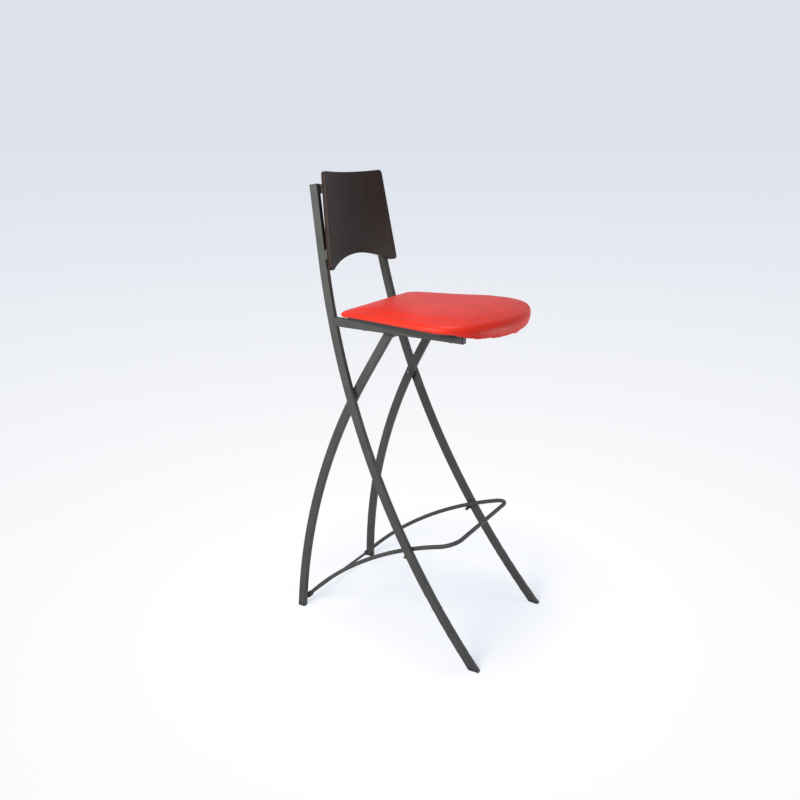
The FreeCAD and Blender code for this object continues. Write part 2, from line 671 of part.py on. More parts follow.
seat_screws = []
for s in SEAT_SCREW_S:
    foot = side(s, rail_bottom_z, rail_mid_x)
    length = TUBE_DEPTH + SEAT_SCREW_BITE
    shank = Part.makeCylinder(SEAT_SCREW_R, length, foot)
    hole = Part.makeCylinder(SEAT_SCREW_R + SCREW_CLEAR, length, foot)
    head = Part.makeCylinder(SEAT_SCREW_HEAD_R, SEAT_SCREW_HEAD, foot, Vector(0, 0, -1))
    rim = [e for e in head.Edges if e.Closed and e.CenterOfMass.z < rail_bottom_z - SEAT_SCREW_HEAD / 2]
    head = head.makeChamfer(HEAD_EDGE, rim[:1])
    screw = shank.fuse(head).removeSplitter()
    rail = rail.cut(hole)
    board = board.cut(hole).cut(mirrored(hole))
    seat_screws.extend([screw, mirrored(screw)])

# saddles that sit on the top cross tube
saddle = box_side(SADDLE_INNER_X, SADDLE_INNER_X + SADDLE_WIDTH, REAR_TOP[0] - SADDLE_BACK,
                  REAR_TOP[0] + SADDLE_FRONT, REAR_TOP[1] - SADDLE_DROP, RAIL_TOP_Z)
saddle = saddle.cut(cylinder_x(0, UPRIGHT_BASE, *REAR_TOP, TOP_TUBE_R + SADDLE_GAP))
saddle_mouth_z = REAR_TOP[1] + TOP_TUBE_R + SADDLE_GAP
saddle = saddle.cut(box_side(0, UPRIGHT_BASE, SEAT_HINGE[0], REAR_TOP[0], LEG_PIVOT[1], saddle_mouth_z))
saddle_x = SADDLE_INNER_X + SADDLE_WIDTH / 2
saddle_toe = side(REAR_TOP[0] + SADDLE_FRONT, REAR_TOP[1] - SADDLE_DROP, saddle_x)
toe_edge = [e for e in saddle.Edges if (e.CenterOfMass - saddle_toe).Length < 0.01]
saddle = saddle.makeFillet(SADDLE_ROUND, toe_edge)

# footrest: rod, front bend, front bar
rod_root = side(*LOWER_ROD, ROD_REAR_X)
rod_share = (ROD_MID[0] - LOWER_ROD[0]) / (ROD_END[0] - LOWER_ROD[0])
rod_mid = side(*ROD_MID, ROD_REAR_X + (ROD_FRONT_X - ROD_REAR_X) * rod_share)
rod_end = side(*ROD_END, ROD_FRONT_X)
rod_arc = Part.Arc(rod_root, rod_mid, rod_end)
run = rod_arc.tangent(rod_arc.LastParameter)[0].normalize()
if run.y > 0:
    run = run * -1
side_on = (run * run.dot(X_AXIS) - X_AXIS).normalize()
turn_angle = math.acos(-run.dot(X_AXIS))


def on_bend(angle):
    """Point on the front bend."""
    return rod_end + run * (ROD_BEND * math.sin(angle)) + side_on * (ROD_BEND * (1 - math.cos(angle)))


bend_stop = on_bend(turn_angle)
bend_arc = Part.Arc(rod_end, on_bend(turn_angle / 2), bend_stop)


def bent_rod(arc, radius):
    """Round rod along a circular arc."""
    edge = arc.toShape()
    start = edge.valueAt(edge.FirstParameter)
    heading = edge.tangentAt(edge.FirstParameter)
    ring = Part.makeCircle(radius, start, heading)
    ring.rotate(start, heading, ROD_SEAM)
    return Part.Wire([edge]).makePipeShell([Part.Wire([ring])], True, False)


side_edge = rod_arc.toShape()
side_circle = side_edge.Curve
cut_param = side_edge.FirstParameter + EYE_NECK / side_circle.Radius
side_piece = Part.ArcOfCircle(side_circle, cut_param, side_edge.LastParameter)
rod_side = bent_rod(side_piece, ROD_R).fuse(bent_rod(bend_arc, ROD_R))
rod_front = bent_rod(Part.LineSegment(Vector(-bend_stop.x, bend_stop.y, bend_stop.z), bend_stop), ROD_R)
footrest = rod_side.fuse([mirrored(rod_side), rod_front])
neck_end = side_piece.toShape().valueAt(cut_param)
neck_back = side_piece.toShape().tangentAt(cut_param) * -1
eye_neck = Part.makeCylinder(ROD_R, EYE_NECK, neck_end, neck_back)
eye = cylinder_x(ROD_REAR_X - EYE_LENGTH / 2, ROD_REAR_X + EYE_LENGTH / 2, *LOWER_ROD, EYE_R)
eye = eye.fuse(eye_neck).cut(cylinder_x(0, UPRIGHT_BASE, *LOWER_ROD, EYE_BORE_R)).removeSplitter()


def under_rod(share):
    """Centre of a pin that the side rod rests on, at a share of the rod's arc."""
    param = rod_arc.FirstParameter + (rod_arc.LastParameter - rod_arc.FirstParameter) * share
    along = rod_arc.tangent(param)[0]
    down = Vector(0, -along.z, along.y).normalize()
    if down.z > 0:
        down = down * -1
    return rod_arc.value(param) + down * (ROD_R + REST_PIN_R + REST_PIN_GAP)


def off_leg(spot):
    """Distance of a point from the middle line of the front leg, seen from the side."""
    return abs((Vector(0, spot.y, spot.z) - arc_centre).Length - upright.radius)


# pins on the front legs under the rods
shares = [k / REST_SAMPLES for k in range(REST_SAMPLES // 2, REST_SAMPLES)]
rest = min([under_rod(share) for share in shares], key=off_leg)
rest_at = (S_ORIGIN_Y - rest.y, rest.z)
rest_pin = cylinder_x(REST_PIN_INNER_X, upright_frame.outer_x(*rest_at), *rest_at, REST_PIN_R)
tip = [e for e in rest_pin.Edges if e.Closed and e.CenterOfMass.x < REST_PIN_INNER_X + HEAD_EDGE]
rest_pin = rest_pin.makeChamfer(HEAD_EDGE, tip[:1]).cut(upright_bar)
rest_pin = min(rest_pin.Solids, key=lambda solid: solid.CenterOfMass.x)

nodes = {
    "upright_left": upright_tube,
    "upright_right": mirrored(upright_tube),
    "upright_caps": both(top_cap),
    "front_glides": both(front_glide),
    "back_rail_upper": back_upper,
    "back_rail_lower": back_lower,
    "back_panel": panel,
    "back_screws": Part.makeCompound(screws),
    "seat_knuckles": both(knuckle),
    "leg_studs": both(stud),
    "leg_spacers": both(spacer),
    "leg_cap_nuts": both(nut),
    "footrest_pins": both(rest_pin),
    "rear_leg_left": rear_tube,
    "rear_leg_right": mirrored(rear_tube),
    "rear_leg_tops": both(rear_cap),
    "rear_glides": both(rear_glide),
    "top_cross_tube": top_tube,
    "lower_cross_rod": lower_rod,
    "seat_rail_left": rail,
    "seat_rail_right": mirrored(rail),
    "seat_rail_caps": both(rail_cap),
    "seat_hinge_pins": both(hinge_pin),
    "seat_cross_tube": seat_tube,
    "seat_board": board,
    "seat_pad": pad,
    "seat_screws": Part.makeCompound(seat_screws),
    "seat_saddles": both(saddle),
    "footrest_rod": footrest,
    "footrest_eyes": both(eye),
}

for name, shape in nodes.items():
    shape.exportStep("parts/" + name + ".step")
    print(name, len(shape.Solids), round(shape.Volume), shape.isValid(), shape.BoundBox)
print("rest pin at", rest_at)
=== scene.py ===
"""Looks of a folding bar stool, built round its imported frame.

Blender's metres, +Z up, the front of the seat toward -Y, the floor at Z 0. Sizes in the classes are
millimetres, and a mesh is scaled to metres when it becomes a piece. Places seen from the side are
given as (s, z), where s runs forward from the bend of the uprights.
"""

import logging
import math
from dataclasses import dataclass
from enum import Enum
from functools import lru_cache
from typing import Iterable, Optional, Sequence

import bmesh
import bpy
from bmesh.types import BMEdge, BMesh, BMVert
from bpy.types import ID, Material, Mesh, Node, NodeSocket, Object
from mathutils import Matrix, Vector, noise
from mathutils.bvhtree import BVHTree


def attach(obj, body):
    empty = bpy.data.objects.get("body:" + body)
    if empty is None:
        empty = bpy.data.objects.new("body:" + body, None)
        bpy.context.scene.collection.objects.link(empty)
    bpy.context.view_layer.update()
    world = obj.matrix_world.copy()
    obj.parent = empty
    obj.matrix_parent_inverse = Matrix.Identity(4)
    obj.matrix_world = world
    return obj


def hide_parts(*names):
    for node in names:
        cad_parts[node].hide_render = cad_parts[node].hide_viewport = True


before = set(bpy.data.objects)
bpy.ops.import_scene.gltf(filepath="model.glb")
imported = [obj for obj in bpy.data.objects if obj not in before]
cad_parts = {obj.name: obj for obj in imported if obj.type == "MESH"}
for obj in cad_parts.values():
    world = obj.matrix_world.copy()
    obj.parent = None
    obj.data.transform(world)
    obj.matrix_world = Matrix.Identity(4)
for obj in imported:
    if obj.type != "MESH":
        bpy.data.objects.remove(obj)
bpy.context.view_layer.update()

log = logging.getLogger("stool")

MM = 0.001
BEND_Y = 186.65


class Body(Enum):
    """The bodies that pieces ride on."""

    FRAME = "frame"
    REAR = "rear_frame"
    SEAT = "seat"
    FOOTREST = "footrest"


class Slot(Enum):
    """The record's material slots."""

    TUBE = "frame_tube"
    PLASTIC = "black_plastic"
    LEATHERETTE = "red_leatherette"
    STAINED = "stained_wood"
    PLYWOOD = "plywood"
    ZINC = "zinc"
    DARK = "dark_screws"


def side(s: float, z: float, x: float = 0.0) -> Vector:
    """Point in millimetres from a place seen from the side."""
    return Vector((x, BEND_Y - s, z))


def linear(colour: str) -> tuple[float, float, float, float]:
    """Linear colour from an sRGB hex value.

    Args:
        colour: Six hex digits.

    Returns:
        Red, green, blue and an alpha of 1.
    """
    parts = [int(colour[i:i + 2], 16) / 255 for i in (0, 2, 4)]
    red, green, blue = [c / 12.92 if c <= 0.04045 else ((c + 0.055) / 1.055) ** 2.4 for c in parts]
    return red, green, blue, 1.0


def per_mm(size: float) -> float:
    """Texture scale, on coordinates in metres, at which a feature is so many millimetres."""
    return 1.0 / (size * MM)


class Tree:
    """The node tree of a material or a world while it is being built."""

    def __init__(self, owner: ID, output: str = "OutputMaterial") -> None:
        """Empties the tree and gives it its output.

        Args:
            owner: Material or world that owns the tree.
            output: Type of the output node.
        """
        owner.use_nodes = True
        self.owner = owner
        self.tree = owner.node_tree
        self.tree.nodes.clear()
        self.output = self.add(output)

    def add(self, kind: str, settings: Optional[dict] = None,
            links: Optional[dict] = None) -> Node:
        """Adds a node.

        Args:
            kind: Type of the node, less the ShaderNode that all types start with.
            settings: Values by property name, or by the name or number of an input. Stops are a
                colour ramp's places, from 0 to 1, with their sRGB hex values.
            links: What feeds an input, by its name or number: a socket, or a node's first output.

        Returns:
            The new node.
        """
        node = self.tree.nodes.new("ShaderNode" + kind)
        for key, value in (settings or {}).items():
            if key == "stops":
                elements = node.color_ramp.elements
                while len(elements) < len(value):
                    elements.new(0.5)
                for element, (place, colour) in zip(elements, value):
                    element.position = place
                    element.color = linear(colour)
            elif isinstance(key, str) and hasattr(node, key):
                setattr(node, key, value)
            else:
                node.inputs[key].default_value = value
        for key, source in (links or {}).items():
            socket = source.outputs[0] if isinstance(source, Node) else source
            self.tree.links.new(socket, node.inputs[key])
        return node

    def surface(self, shader: Node) -> ID:
        """Links a shader to the output and returns the finished material or world."""
        self.tree.links.new(shader.outputs[0], self.output.inputs["Surface"])
        return self.owner

    def coat(self, shade: Node, grain: Node, rough: Optional[tuple] = None,
             bump: Optional[tuple] = None, spread: tuple[float, float] = (0.3, 0.7),
             settings: Optional[dict] = None) -> ID:
        """Ends a material with a skin whose gloss and relief follow a grain.

        Args:
            shade: Colour of the skin.
            grain: The grain.
            rough: Roughness at the low and at the high end of the grain.
            bump: Strength and depth in millimetres of the relief. A depth below 0 turns it inside out.
            spread: Values of the grain at its low and its high end.
            settings: What else the shader is set to.

        Returns:
            The finished material.
        """
        links = {"Base Color": shade}
        if rough:
            span = {"From Min": spread[0], "From Max": spread[1], "To Min": rough[0], "To Max": rough[1]}
            links["Roughness"] = self.add("MapRange", span, {"Value": grain})
        if bump:
            relief = {"Strength": bump[0], "Distance": abs(bump[1]) * MM, "invert": bump[1] < 0}
            links["Normal"] = self.add("Bump", relief, {"Height": grain})
        return self.surface(self.add("BsdfPrincipled", settings, links))


@dataclass(frozen=True)
class Finish:
    """What all finishes have: a name, and a way to build their material."""

    name: str

    def start(self) -> tuple[Tree, NodeSocket]:
        """The tree of a new material and the object's own coordinates in it."""
        tree = Tree(bpy.data.materials.new(self.name))
        return tree, tree.add("TexCoord").outputs["Object"]

    def build(self) -> Material:
        """The finished material, which each finish makes in its own way."""
        raise NotImplementedError


@dataclass(frozen=True)
class PowderCoat(Finish):
    """Epoxy powder baked on steel tube. A fine orange-peel grain spreads the gloss into a soft sheen."""

    name: str = "powder_coated_steel"
    dark: str = "3B3B3A"
    light: str = "484947"
    # the real grain is about 0.3 mm, drawn coarser so that it shows at this distance
    grain_mm: float = 1.1
    cloud_mm: float = 45.0
    rough: tuple[float, float] = (0.42, 0.56)
    bump: tuple[float, float] = (0.3, 0.12)
    specular: float = 0.25

    def build(self) -> Material:
        """Makes the material: mottled a little in tone, with the grain as bump and in the roughness.

        Returns:
            The material.
        """
        tree, place = self.start()
        grain = tree.add("TexNoise", {"Scale": per_mm(self.grain_mm), "Detail": 3.0, "Roughness": 0.6},
                         {"Vector": place})
        cloud = tree.add("TexNoise", {"Scale": per_mm(self.cloud_mm), "Detail": 2.0}, {"Vector": place})
        mixed = tree.add("Math", {"operation": "MULTIPLY_ADD", 1: 0.5}, {0: grain, 2: cloud})
        shade = tree.add("ValToRGB", {"stops": ((0.45, self.dark), (1.0, self.light))}, {"Fac": mixed})
        return tree.coat(shade, grain, self.rough, self.bump,
                         settings={"Specular IOR Level": self.specular})


@dataclass(frozen=True)
class MouldedPlastic(Finish):
    """Injection-moulded polypropylene from a spark-eroded mould, which leaves a dull, even grain."""

    name: str = "moulded_polypropylene"
    dark: str = "191A1B"
    light: str = "222324"
    grain_mm: float = 0.8
    rough: tuple[float, float] = (0.45, 0.6)
    bump: tuple[float, float] = (0.25, 0.08)
    ior: float = 1.49

    def build(self) -> Material:
        """Makes the material: near black, with a fine grain in the bump and the roughness.

        Returns:
            The material.
        """
        tree, place = self.start()
        grain = tree.add("TexNoise", {"Scale": per_mm(self.grain_mm), "Detail": 4.0}, {"Vector": place})
        shade = tree.add("ValToRGB", {"stops": ((0.35, self.dark), (0.65, self.light))}, {"Fac": grain})
        return tree.coat(shade, grain, self.rough, self.bump, settings={"IOR": self.ior})


@dataclass(frozen=True)
class Leatherette(Finish):
    """PVC-coated cloth with an embossed pebble grain: a strong even colour under a soft, broad shine."""

    name: str = "pvc_leatherette"
    deep: str = "D2291A"
    bright: str = "DC301E"
    # real pebbles are about 0.8 mm, drawn coarser so that they show at this distance
    pebble_mm: float = 2.2
    warp_mm: float = 3.0
    warp: float = 0.0012
    cloud_mm: float = 60.0
    rough: tuple[float, float] = (0.40, 0.52)
    bump: tuple[float, float] = (0.22, -0.15)
    specular: float = 0.22

    def build(self) -> Material:
        """Makes the material: a nearly even colour over cells of grain, with shine that the grain breaks up.

        Returns:
            The material.
        """
        tree, place = self.start()
        drift = tree.add("TexNoise", {"Scale": per_mm(self.warp_mm), "Detail": 2.0}, {"Vector": place})
        bent = tree.add("MixRGB", {"blend_type": "LINEAR_LIGHT", "Fac": self.warp},
                        {"Color1": place, "Color2": drift.outputs["Color"]})
        pebble = tree.add("TexVoronoi", {"feature": "SMOOTH_F1", "Scale": per_mm(self.pebble_mm)},
                          {"Vector": bent})
        cloud = tree.add("TexNoise", {"Scale": per_mm(self.cloud_mm), "Detail": 3.0}, {"Vector": place})
        shade = tree.add("ValToRGB", {"stops": ((0.3, self.deep), (0.7, self.bright))}, {"Fac": cloud})
        return tree.coat(shade, pebble, self.rough, self.bump, (0.1, 0.7),
                         {"Specular IOR Level": self.specular})


@dataclass(frozen=True)
class StainedPly(Finish):
    """Bent beech plywood, stained dark under satin lacquer: faint upright grain, plies on the edges."""

    name: str = "stained_beech_plywood"
    dark: str = "201512"
    middle: str = "281C18"
    light: str = "352620"
    streak_mm: float = 3.2
    length_mm: float = 90.0
    pore_mm: float = 0.9
    plies: float = 4.0
    ply_light: float = 1.35
    rough: tuple[float, float] = (0.36, 0.5)
    bump: tuple[float, float] = (0.2, 0.1)
    specular: float = 0.15

    def build(self) -> Material:
        """Makes the material on the panel's own unrolled map and its ply attribute.

        Returns:
            The material.
        """
        tree = Tree(bpy.data.materials.new(self.name))
        unrolled = tree.add("UVMap", {"uv_map": "grain"})
        along = tree.add("Mapping", {"Scale": (per_mm(self.streak_mm), per_mm(self.length_mm), 1.0)},
                         {"Vector": unrolled})
        streak = tree.add("TexNoise", {"Scale": 1.0, "Detail": 5.0, "Roughness": 0.62,
                                       "Distortion": 0.35}, {"Vector": along})
        fine = tree.add("Mapping", {"Scale": (per_mm(self.pore_mm), per_mm(self.length_mm / 6), 1.0)},
                        {"Vector": unrolled})
        pores = tree.add("TexNoise", {"Scale": 1.0, "Detail": 2.0}, {"Vector": fine})
        both = tree.add("Math", {"operation": "MULTIPLY_ADD", 1: 0.35}, {0: pores, 2: streak})
        stops = ((0.5, self.dark), (0.68, self.middle), (0.9, self.light))
        wood = tree.add("ValToRGB", {"stops": stops}, {"Fac": both})
        ply = tree.add("Attribute", {"attribute_name": "ply"}).outputs["Fac"]
        bands = tree.add("Math", {"operation": "MULTIPLY", 1: self.plies * math.tau}, {0: ply})
        wave = tree.add("Math", {"operation": "COSINE"}, {0: bands})
        lit = tree.add("MapRange", {"From Min": -1.0, "To Min": self.ply_light, "To Max": 1.0},
                       {"Value": wave})
        shade = tree.add("VectorMath", {"operation": "SCALE"}, {0: wood, "Scale": lit})
        return tree.coat(shade, pores, self.rough, self.bump,
                         settings={"Specular IOR Level": self.specular})


@dataclass(frozen=True)
class BirchPly(Finish):
    """Raw sanded birch plywood, the seat board: pale, with long fine grain across the seat."""

    name: str = "raw_birch_plywood"
    dark: str = "A98558"
    light: str = "CDAE7F"
    grain_mm: tuple[float, float, float] = (140.0, 4.0, 1.5)
    rough: float = 0.7
    bump: tuple[float, float] = (0.3, 0.1)

    def build(self) -> Material:
        """Makes the material on object coordinates stretched along X.

        Returns:
            The material.
        """
        tree, place = self.start()
        scale = tuple(per_mm(size) for size in self.grain_mm)
        along = tree.add("Mapping", {"Scale": scale}, {"Vector": place})
        streak = tree.add("TexNoise", {"Scale": 1.0, "Detail": 6.0, "Distortion": 0.6}, {"Vector": along})
        shade = tree.add("ValToRGB", {"stops": ((0.3, self.dark), (0.7, self.light))}, {"Fac": streak})
        return tree.coat(shade, streak, bump=self.bump, settings={"Roughness": self.rough})


@dataclass(frozen=True)
class PlatedSteel(Finish):
    """Cold-formed steel with a plated or blackened skin: clouded metal with a dull, uneven shine."""

    dark: str
    light: str
    rough: tuple[float, float]
    cloud_mm: float = 2.0

    def build(self) -> Material:
        """Makes the material: metal whose tone and roughness drift together.

        Returns:
            The material.
        """
        tree, place = self.start()
        cloud = tree.add("TexNoise", {"Scale": per_mm(self.cloud_mm), "Detail": 4.0}, {"Vector": place})
        shade = tree.add("ValToRGB", {"stops": ((0.3, self.dark), (0.7, self.light))}, {"Fac": cloud})
        return tree.coat(shade, cloud, self.rough, settings={"Metallic": 1.0})


COATED = PowderCoat()
PLASTIC = MouldedPlastic()
RED = Leatherette()
WENGE = StainedPly()
BIRCH = BirchPly()
ZINC = PlatedSteel("black_zinc_plated_steel", "46474A", "626467", (0.3, 0.44))
BLACKENED = PlatedSteel("blackened_steel", "2A2A2B", "3E3E40", (0.38, 0.5))


@lru_cache(maxsize=None)
def material(finish: Finish) -> Material:
    """The material of a finish, built once."""
    return finish.build()


def dress(finish: Finish, *nodes: str) -> None:
    """Gives frame nodes a finish.

    Args:
        finish: The finish.
        nodes: Names of the nodes.
    """
    for name in nodes:
        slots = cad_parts[name].data.materials
        if not slots:
            slots.append(material(finish))
        for index in range(len(slots)):
            slots[index] = material(finish)
        log.info("node %s: %s", name, finish.name)


def mesh_of(bm: BMesh, name: str) -> Mesh:
    """Turns a bmesh, which is freed, into a mesh.

    Args:
        bm: The bmesh.
        name: Name of the mesh.

    Returns:
        The mesh.
    """
    mesh = bpy.data.meshes.new(name)
    bm.to_mesh(mesh)
    bm.free()
    return mesh


def stand(name: str, data: ID) -> Object:
    """Puts data into the scene.

    Args:
        name: Name of the object.
        data: Its mesh, light or camera.

    Returns:
        The object.
    """
    thing = bpy.data.objects.new(name, data)
    bpy.context.collection.objects.link(thing)
    return thing


def evaluated(piece: Object) -> Mesh:
    """Mesh that a piece's modifiers make of it."""
    graph = bpy.context.evaluated_depsgraph_get()
    return bpy.data.meshes.new_from_object(piece.evaluated_get(graph))


@dataclass(frozen=True)
class Piece:
    """What every new piece is given: its name, finish, body and material slot."""

    name: str
    finish: Finish
    body: Body
    slot: Slot
    replaced: tuple[str, ...] = ()

    def make(self, bm: BMesh, sharp: float = 35.0) -> Object:
        """Turns a mesh in millimetres into a finished piece.

        Args:
            bm: The mesh, which is freed.
            sharp: Angle in degrees above which an edge stays sharp.

        Returns:
            The piece.
        """
        bmesh.ops.recalc_face_normals(bm, faces=bm.faces)
        bmesh.ops.scale(bm, vec=(MM, MM, MM), verts=bm.verts)
        mesh = mesh_of(bm, self.name)
        mesh.polygons.foreach_set("use_smooth", [True] * len(mesh.polygons))
        mesh.set_sharp_from_angle(angle=math.radians(sharp))
        return self.finished(stand(self.name, mesh))

    def finished(self, piece: Object) -> Object:
        """Dresses a piece whose mesh is in metres, parents it to its body, hides the nodes it replaces and
        reports it.

        Args:
            piece: The piece.

        Returns:
            The same piece.
        """
        piece.data.materials.clear()
        piece.data.materials.append(material(self.finish))
        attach(piece, self.body.value)
        if self.replaced:
            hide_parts(*self.replaced)
        log.info("piece %s: %d faces, %s, rides on %s",
                 self.name, len(piece.data.polygons), self.finish.name, self.body.value)
        return piece


def facing(axis: Vector) -> Matrix:
    """Turn that takes +Z to an axis."""
    return Vector((0, 0, 1)).rotation_difference(axis).to_matrix().to_4x4()


def soften(bm: BMesh, edges: Iterable[BMEdge], radius: float,
           steps: int = 2) -> None:
    """Rounds edges.

    Args:
        bm: The mesh.
        edges: Its edges to round.
        radius: Radius in millimetres.
        steps: Segments of the round.
    """
    bmesh.ops.bevel(bm, geom=list(edges), offset=radius, offset_type="OFFSET", segments=steps,
                    profile=0.5, affect="EDGES", material=-1, clamp_overlap=True)


def block(bm: BMesh, size: Sequence[float], place: Matrix, radius: float = 0.0) -> None:
    """Adds a box with softened edges.

    Args:
        bm: The mesh.
        size: Lengths along the box's own axes.
        place: Where its middle goes, and how it is turned.
        radius: Radius of its edges.
    """
    made = bmesh.ops.create_cube(bm, size=1.0, matrix=place @ Matrix.Diagonal((*size, 1.0)))
    edges = {edge for vert in made["verts"] for edge in vert.link_edges}
    if radius:
        soften(bm, edges, radius)


def linked(verts: Iterable[BMVert]) -> set:
    """Finds what edges join to some vertices.

    Args:
        verts: The vertices to start from.

    Returns:
        All that are joined to them, themselves included.
    """
    found = set(verts)
    queue = list(found)
    while queue:
        for edge in queue.pop().link_edges:
            fresh = set(edge.verts) - found
            found |= fresh
            queue.extend(fresh)
    return found


def lathe(bm: BMesh, verts: list, edges: list, steps: int, place: Matrix) -> None:
    """Turns a profile round Z and puts the closed shape in place.

    Args:
        bm: The mesh.
        verts: Vertices of the profile, in the XZ plane.
        edges: Its edges.
        steps: Steps of the full turn.
        place: Where the origin goes, and how Z is turned.
    """
    bmesh.ops.spin(bm, geom=verts + edges, cent=(0, 0, 0), axis=(0, 0, 1), angle=math.tau,
                   steps=steps, use_merge=True)
    turned = linked(verts)
    bmesh.ops.remove_doubles(bm, verts=list(turned), dist=0.01)
    alive = [vert for vert in turned if vert.is_valid]
    bmesh.ops.transform(bm, matrix=place, verts=alive)


def profile(bm: BMesh, points: Sequence[tuple[float, float]]) -> tuple[list, list]:
    """Chain of vertices and edges in the XZ plane.

    Args:
        bm: The mesh.
        points: Places as (x, z).

    Returns:
        The vertices and the edges.
    """
    verts = [bm.verts.new((x, 0.0, z)) for x, z in points]
    edges = [bm.edges.new(pair) for pair in zip(verts, verts[1:])]
    return verts, edges


def quarter(radius: float, rise: float, base: float, steps: int = 7) -> list[tuple[float, float]]:
    """Points (x, z) of a dome's profile, from its rim at the height base up to its top."""
    turns = [math.pi / 2 * step / steps for step in range(steps + 1)]
    return [(radius * math.cos(turn), base + rise * math.sin(turn)) for turn in turns]


def both_sides(point: Vector) -> tuple[Vector, Vector]:
    """A point or direction and its mirror image across the stool."""
    return point, Vector((-point.x, point.y, point.z))


@dataclass
class WeldBead:
    """A weld bead, laid with a pause at each step so that its skin freezes in ripples."""

    radius: float = 1.5
    ripple: float = 0.14
    pitch: float = 1.9
    sides: int = 8

    def section(self, bm: BMesh, centre: Vector, normal: Vector) -> list:
        """Adds the circle of the bead's section.

        Args:
            bm: The mesh.
            centre: Middle of the circle.
            normal: Direction of the bead.

        Returns:
            Its vertices and edges.
        """
        place = Matrix.Translation(centre) @ facing(normal)
        made = bmesh.ops.create_circle(bm, segments=self.sides, radius=self.radius, cap_ends=False,
                                       matrix=place)
        verts = made["verts"]
        edges = list({edge for vert in verts for edge in vert.link_edges})
        return verts + edges

    def swell(self, distance: float) -> float:
        """Factor on the section at a distance along the bead."""
        return 1.0 + self.ripple * abs(math.sin(math.pi * distance / self.pitch))

    def ring(self, bm: BMesh, centre: Vector, axis: Vector, radius: float) -> None:
        """Bead round a tube.

        Args:
            bm: The mesh.
            centre: Middle of the ring.
            axis: Axis of the ring.
            radius: Radius of the tube, with what the bead's middle stands off it.
        """
        out = axis.orthogonal().normalized() * radius
        steps = max(24, round(math.tau * radius / self.pitch) * 4)
        before = set(bm.verts)
        geom = self.section(bm, centre + out, axis.cross(out).normalized())
        bmesh.ops.spin(bm, geom=geom, cent=centre, axis=axis, angle=math.tau, steps=steps, use_merge=True)
        across = axis.normalized().cross(out.normalized())
        for vert in set(bm.verts) - before:
            ray = vert.co - centre
            flat = ray - axis.normalized() * ray.dot(axis.normalized())
            middle = centre + flat.normalized() * radius
            turn = math.atan2(flat.dot(across), flat.dot(out.normalized()))
            vert.co = middle + (vert.co - middle) * self.swell((turn + math.pi) * radius)

    def line(self, bm: BMesh, start: Vector, end: Vector) -> None:
        """Straight bead with rounded ends.

        Args:
            bm: The mesh.
            start: One end.
            end: The other end.
        """
        run = end - start
        steps = max(6, round(run.length / self.pitch * 4))
        before = set(bm.verts)
        geom = self.section(bm, start, run.normalized())
        bmesh.ops.spin(bm, geom=geom, cent=start, axis=run, dvec=run / steps, angle=0.0, steps=steps)
        fresh = set(bm.verts) - before
        for vert in fresh:
            along = (vert.co - start).dot(run.normalized())
            middle = start + run.normalized() * along
            from_end = min(along, run.length - along) / self.radius
            taper = math.sqrt(max(0.02, 1.0 - max(0.0, 1.0 - from_end) ** 2))
            vert.co = middle + (vert.co - middle) * taper * self.swell(along)
        rims = [edge for edge in bm.edges if edge.is_boundary and edge.verts[0] in fresh]
        bmesh.ops.holes_fill(bm, edges=rims, sides=self.sides)


    def lines(self, bm: BMesh, start: Vector, end: Vector) -> None:
        """Straight bead on each side of the stool, given on the left one."""
        for a, b in zip(both_sides(start), both_sides(end)):
            self.line(bm, a, b)

    def rings(self, bm: BMesh, centre: Vector, axis: Vector, radius: float) -> None:
        """Bead round a tube on each side of the stool, given on the left one."""
        for middle, out in zip(both_sides(centre), both_sides(axis)):
            self.ring(bm, middle, out, radius)


@dataclass
class SideFrame:
    """The leaning plane in which one bent tube lies, as x = base - per_z * z - per_s * s outside."""

    base: float
    per_z: float
    per_s: float
    width: float = 14.0

    @property
    def normal(self) -> Vector:
        """Direction square to the plane, outward on the left side."""
        return Vector((1.0, -self.per_s, self.per_z)).normalized()

    def outer_x(self, s: float, z: float) -> float:
        """x of the outer face."""
        return self.base - self.per_z * z - self.per_s * s

    def inner_x(self, s: float, z: float) -> float:
        """x of the inner face."""
        return self.outer_x(s, z) - self.width / self.normal.x


UPRIGHT_SIDE = SideFrame(204.0, 0.0883, 0.0605)
REAR_SIDE = SideFrame(161.2, 0.0479, 0.0354)


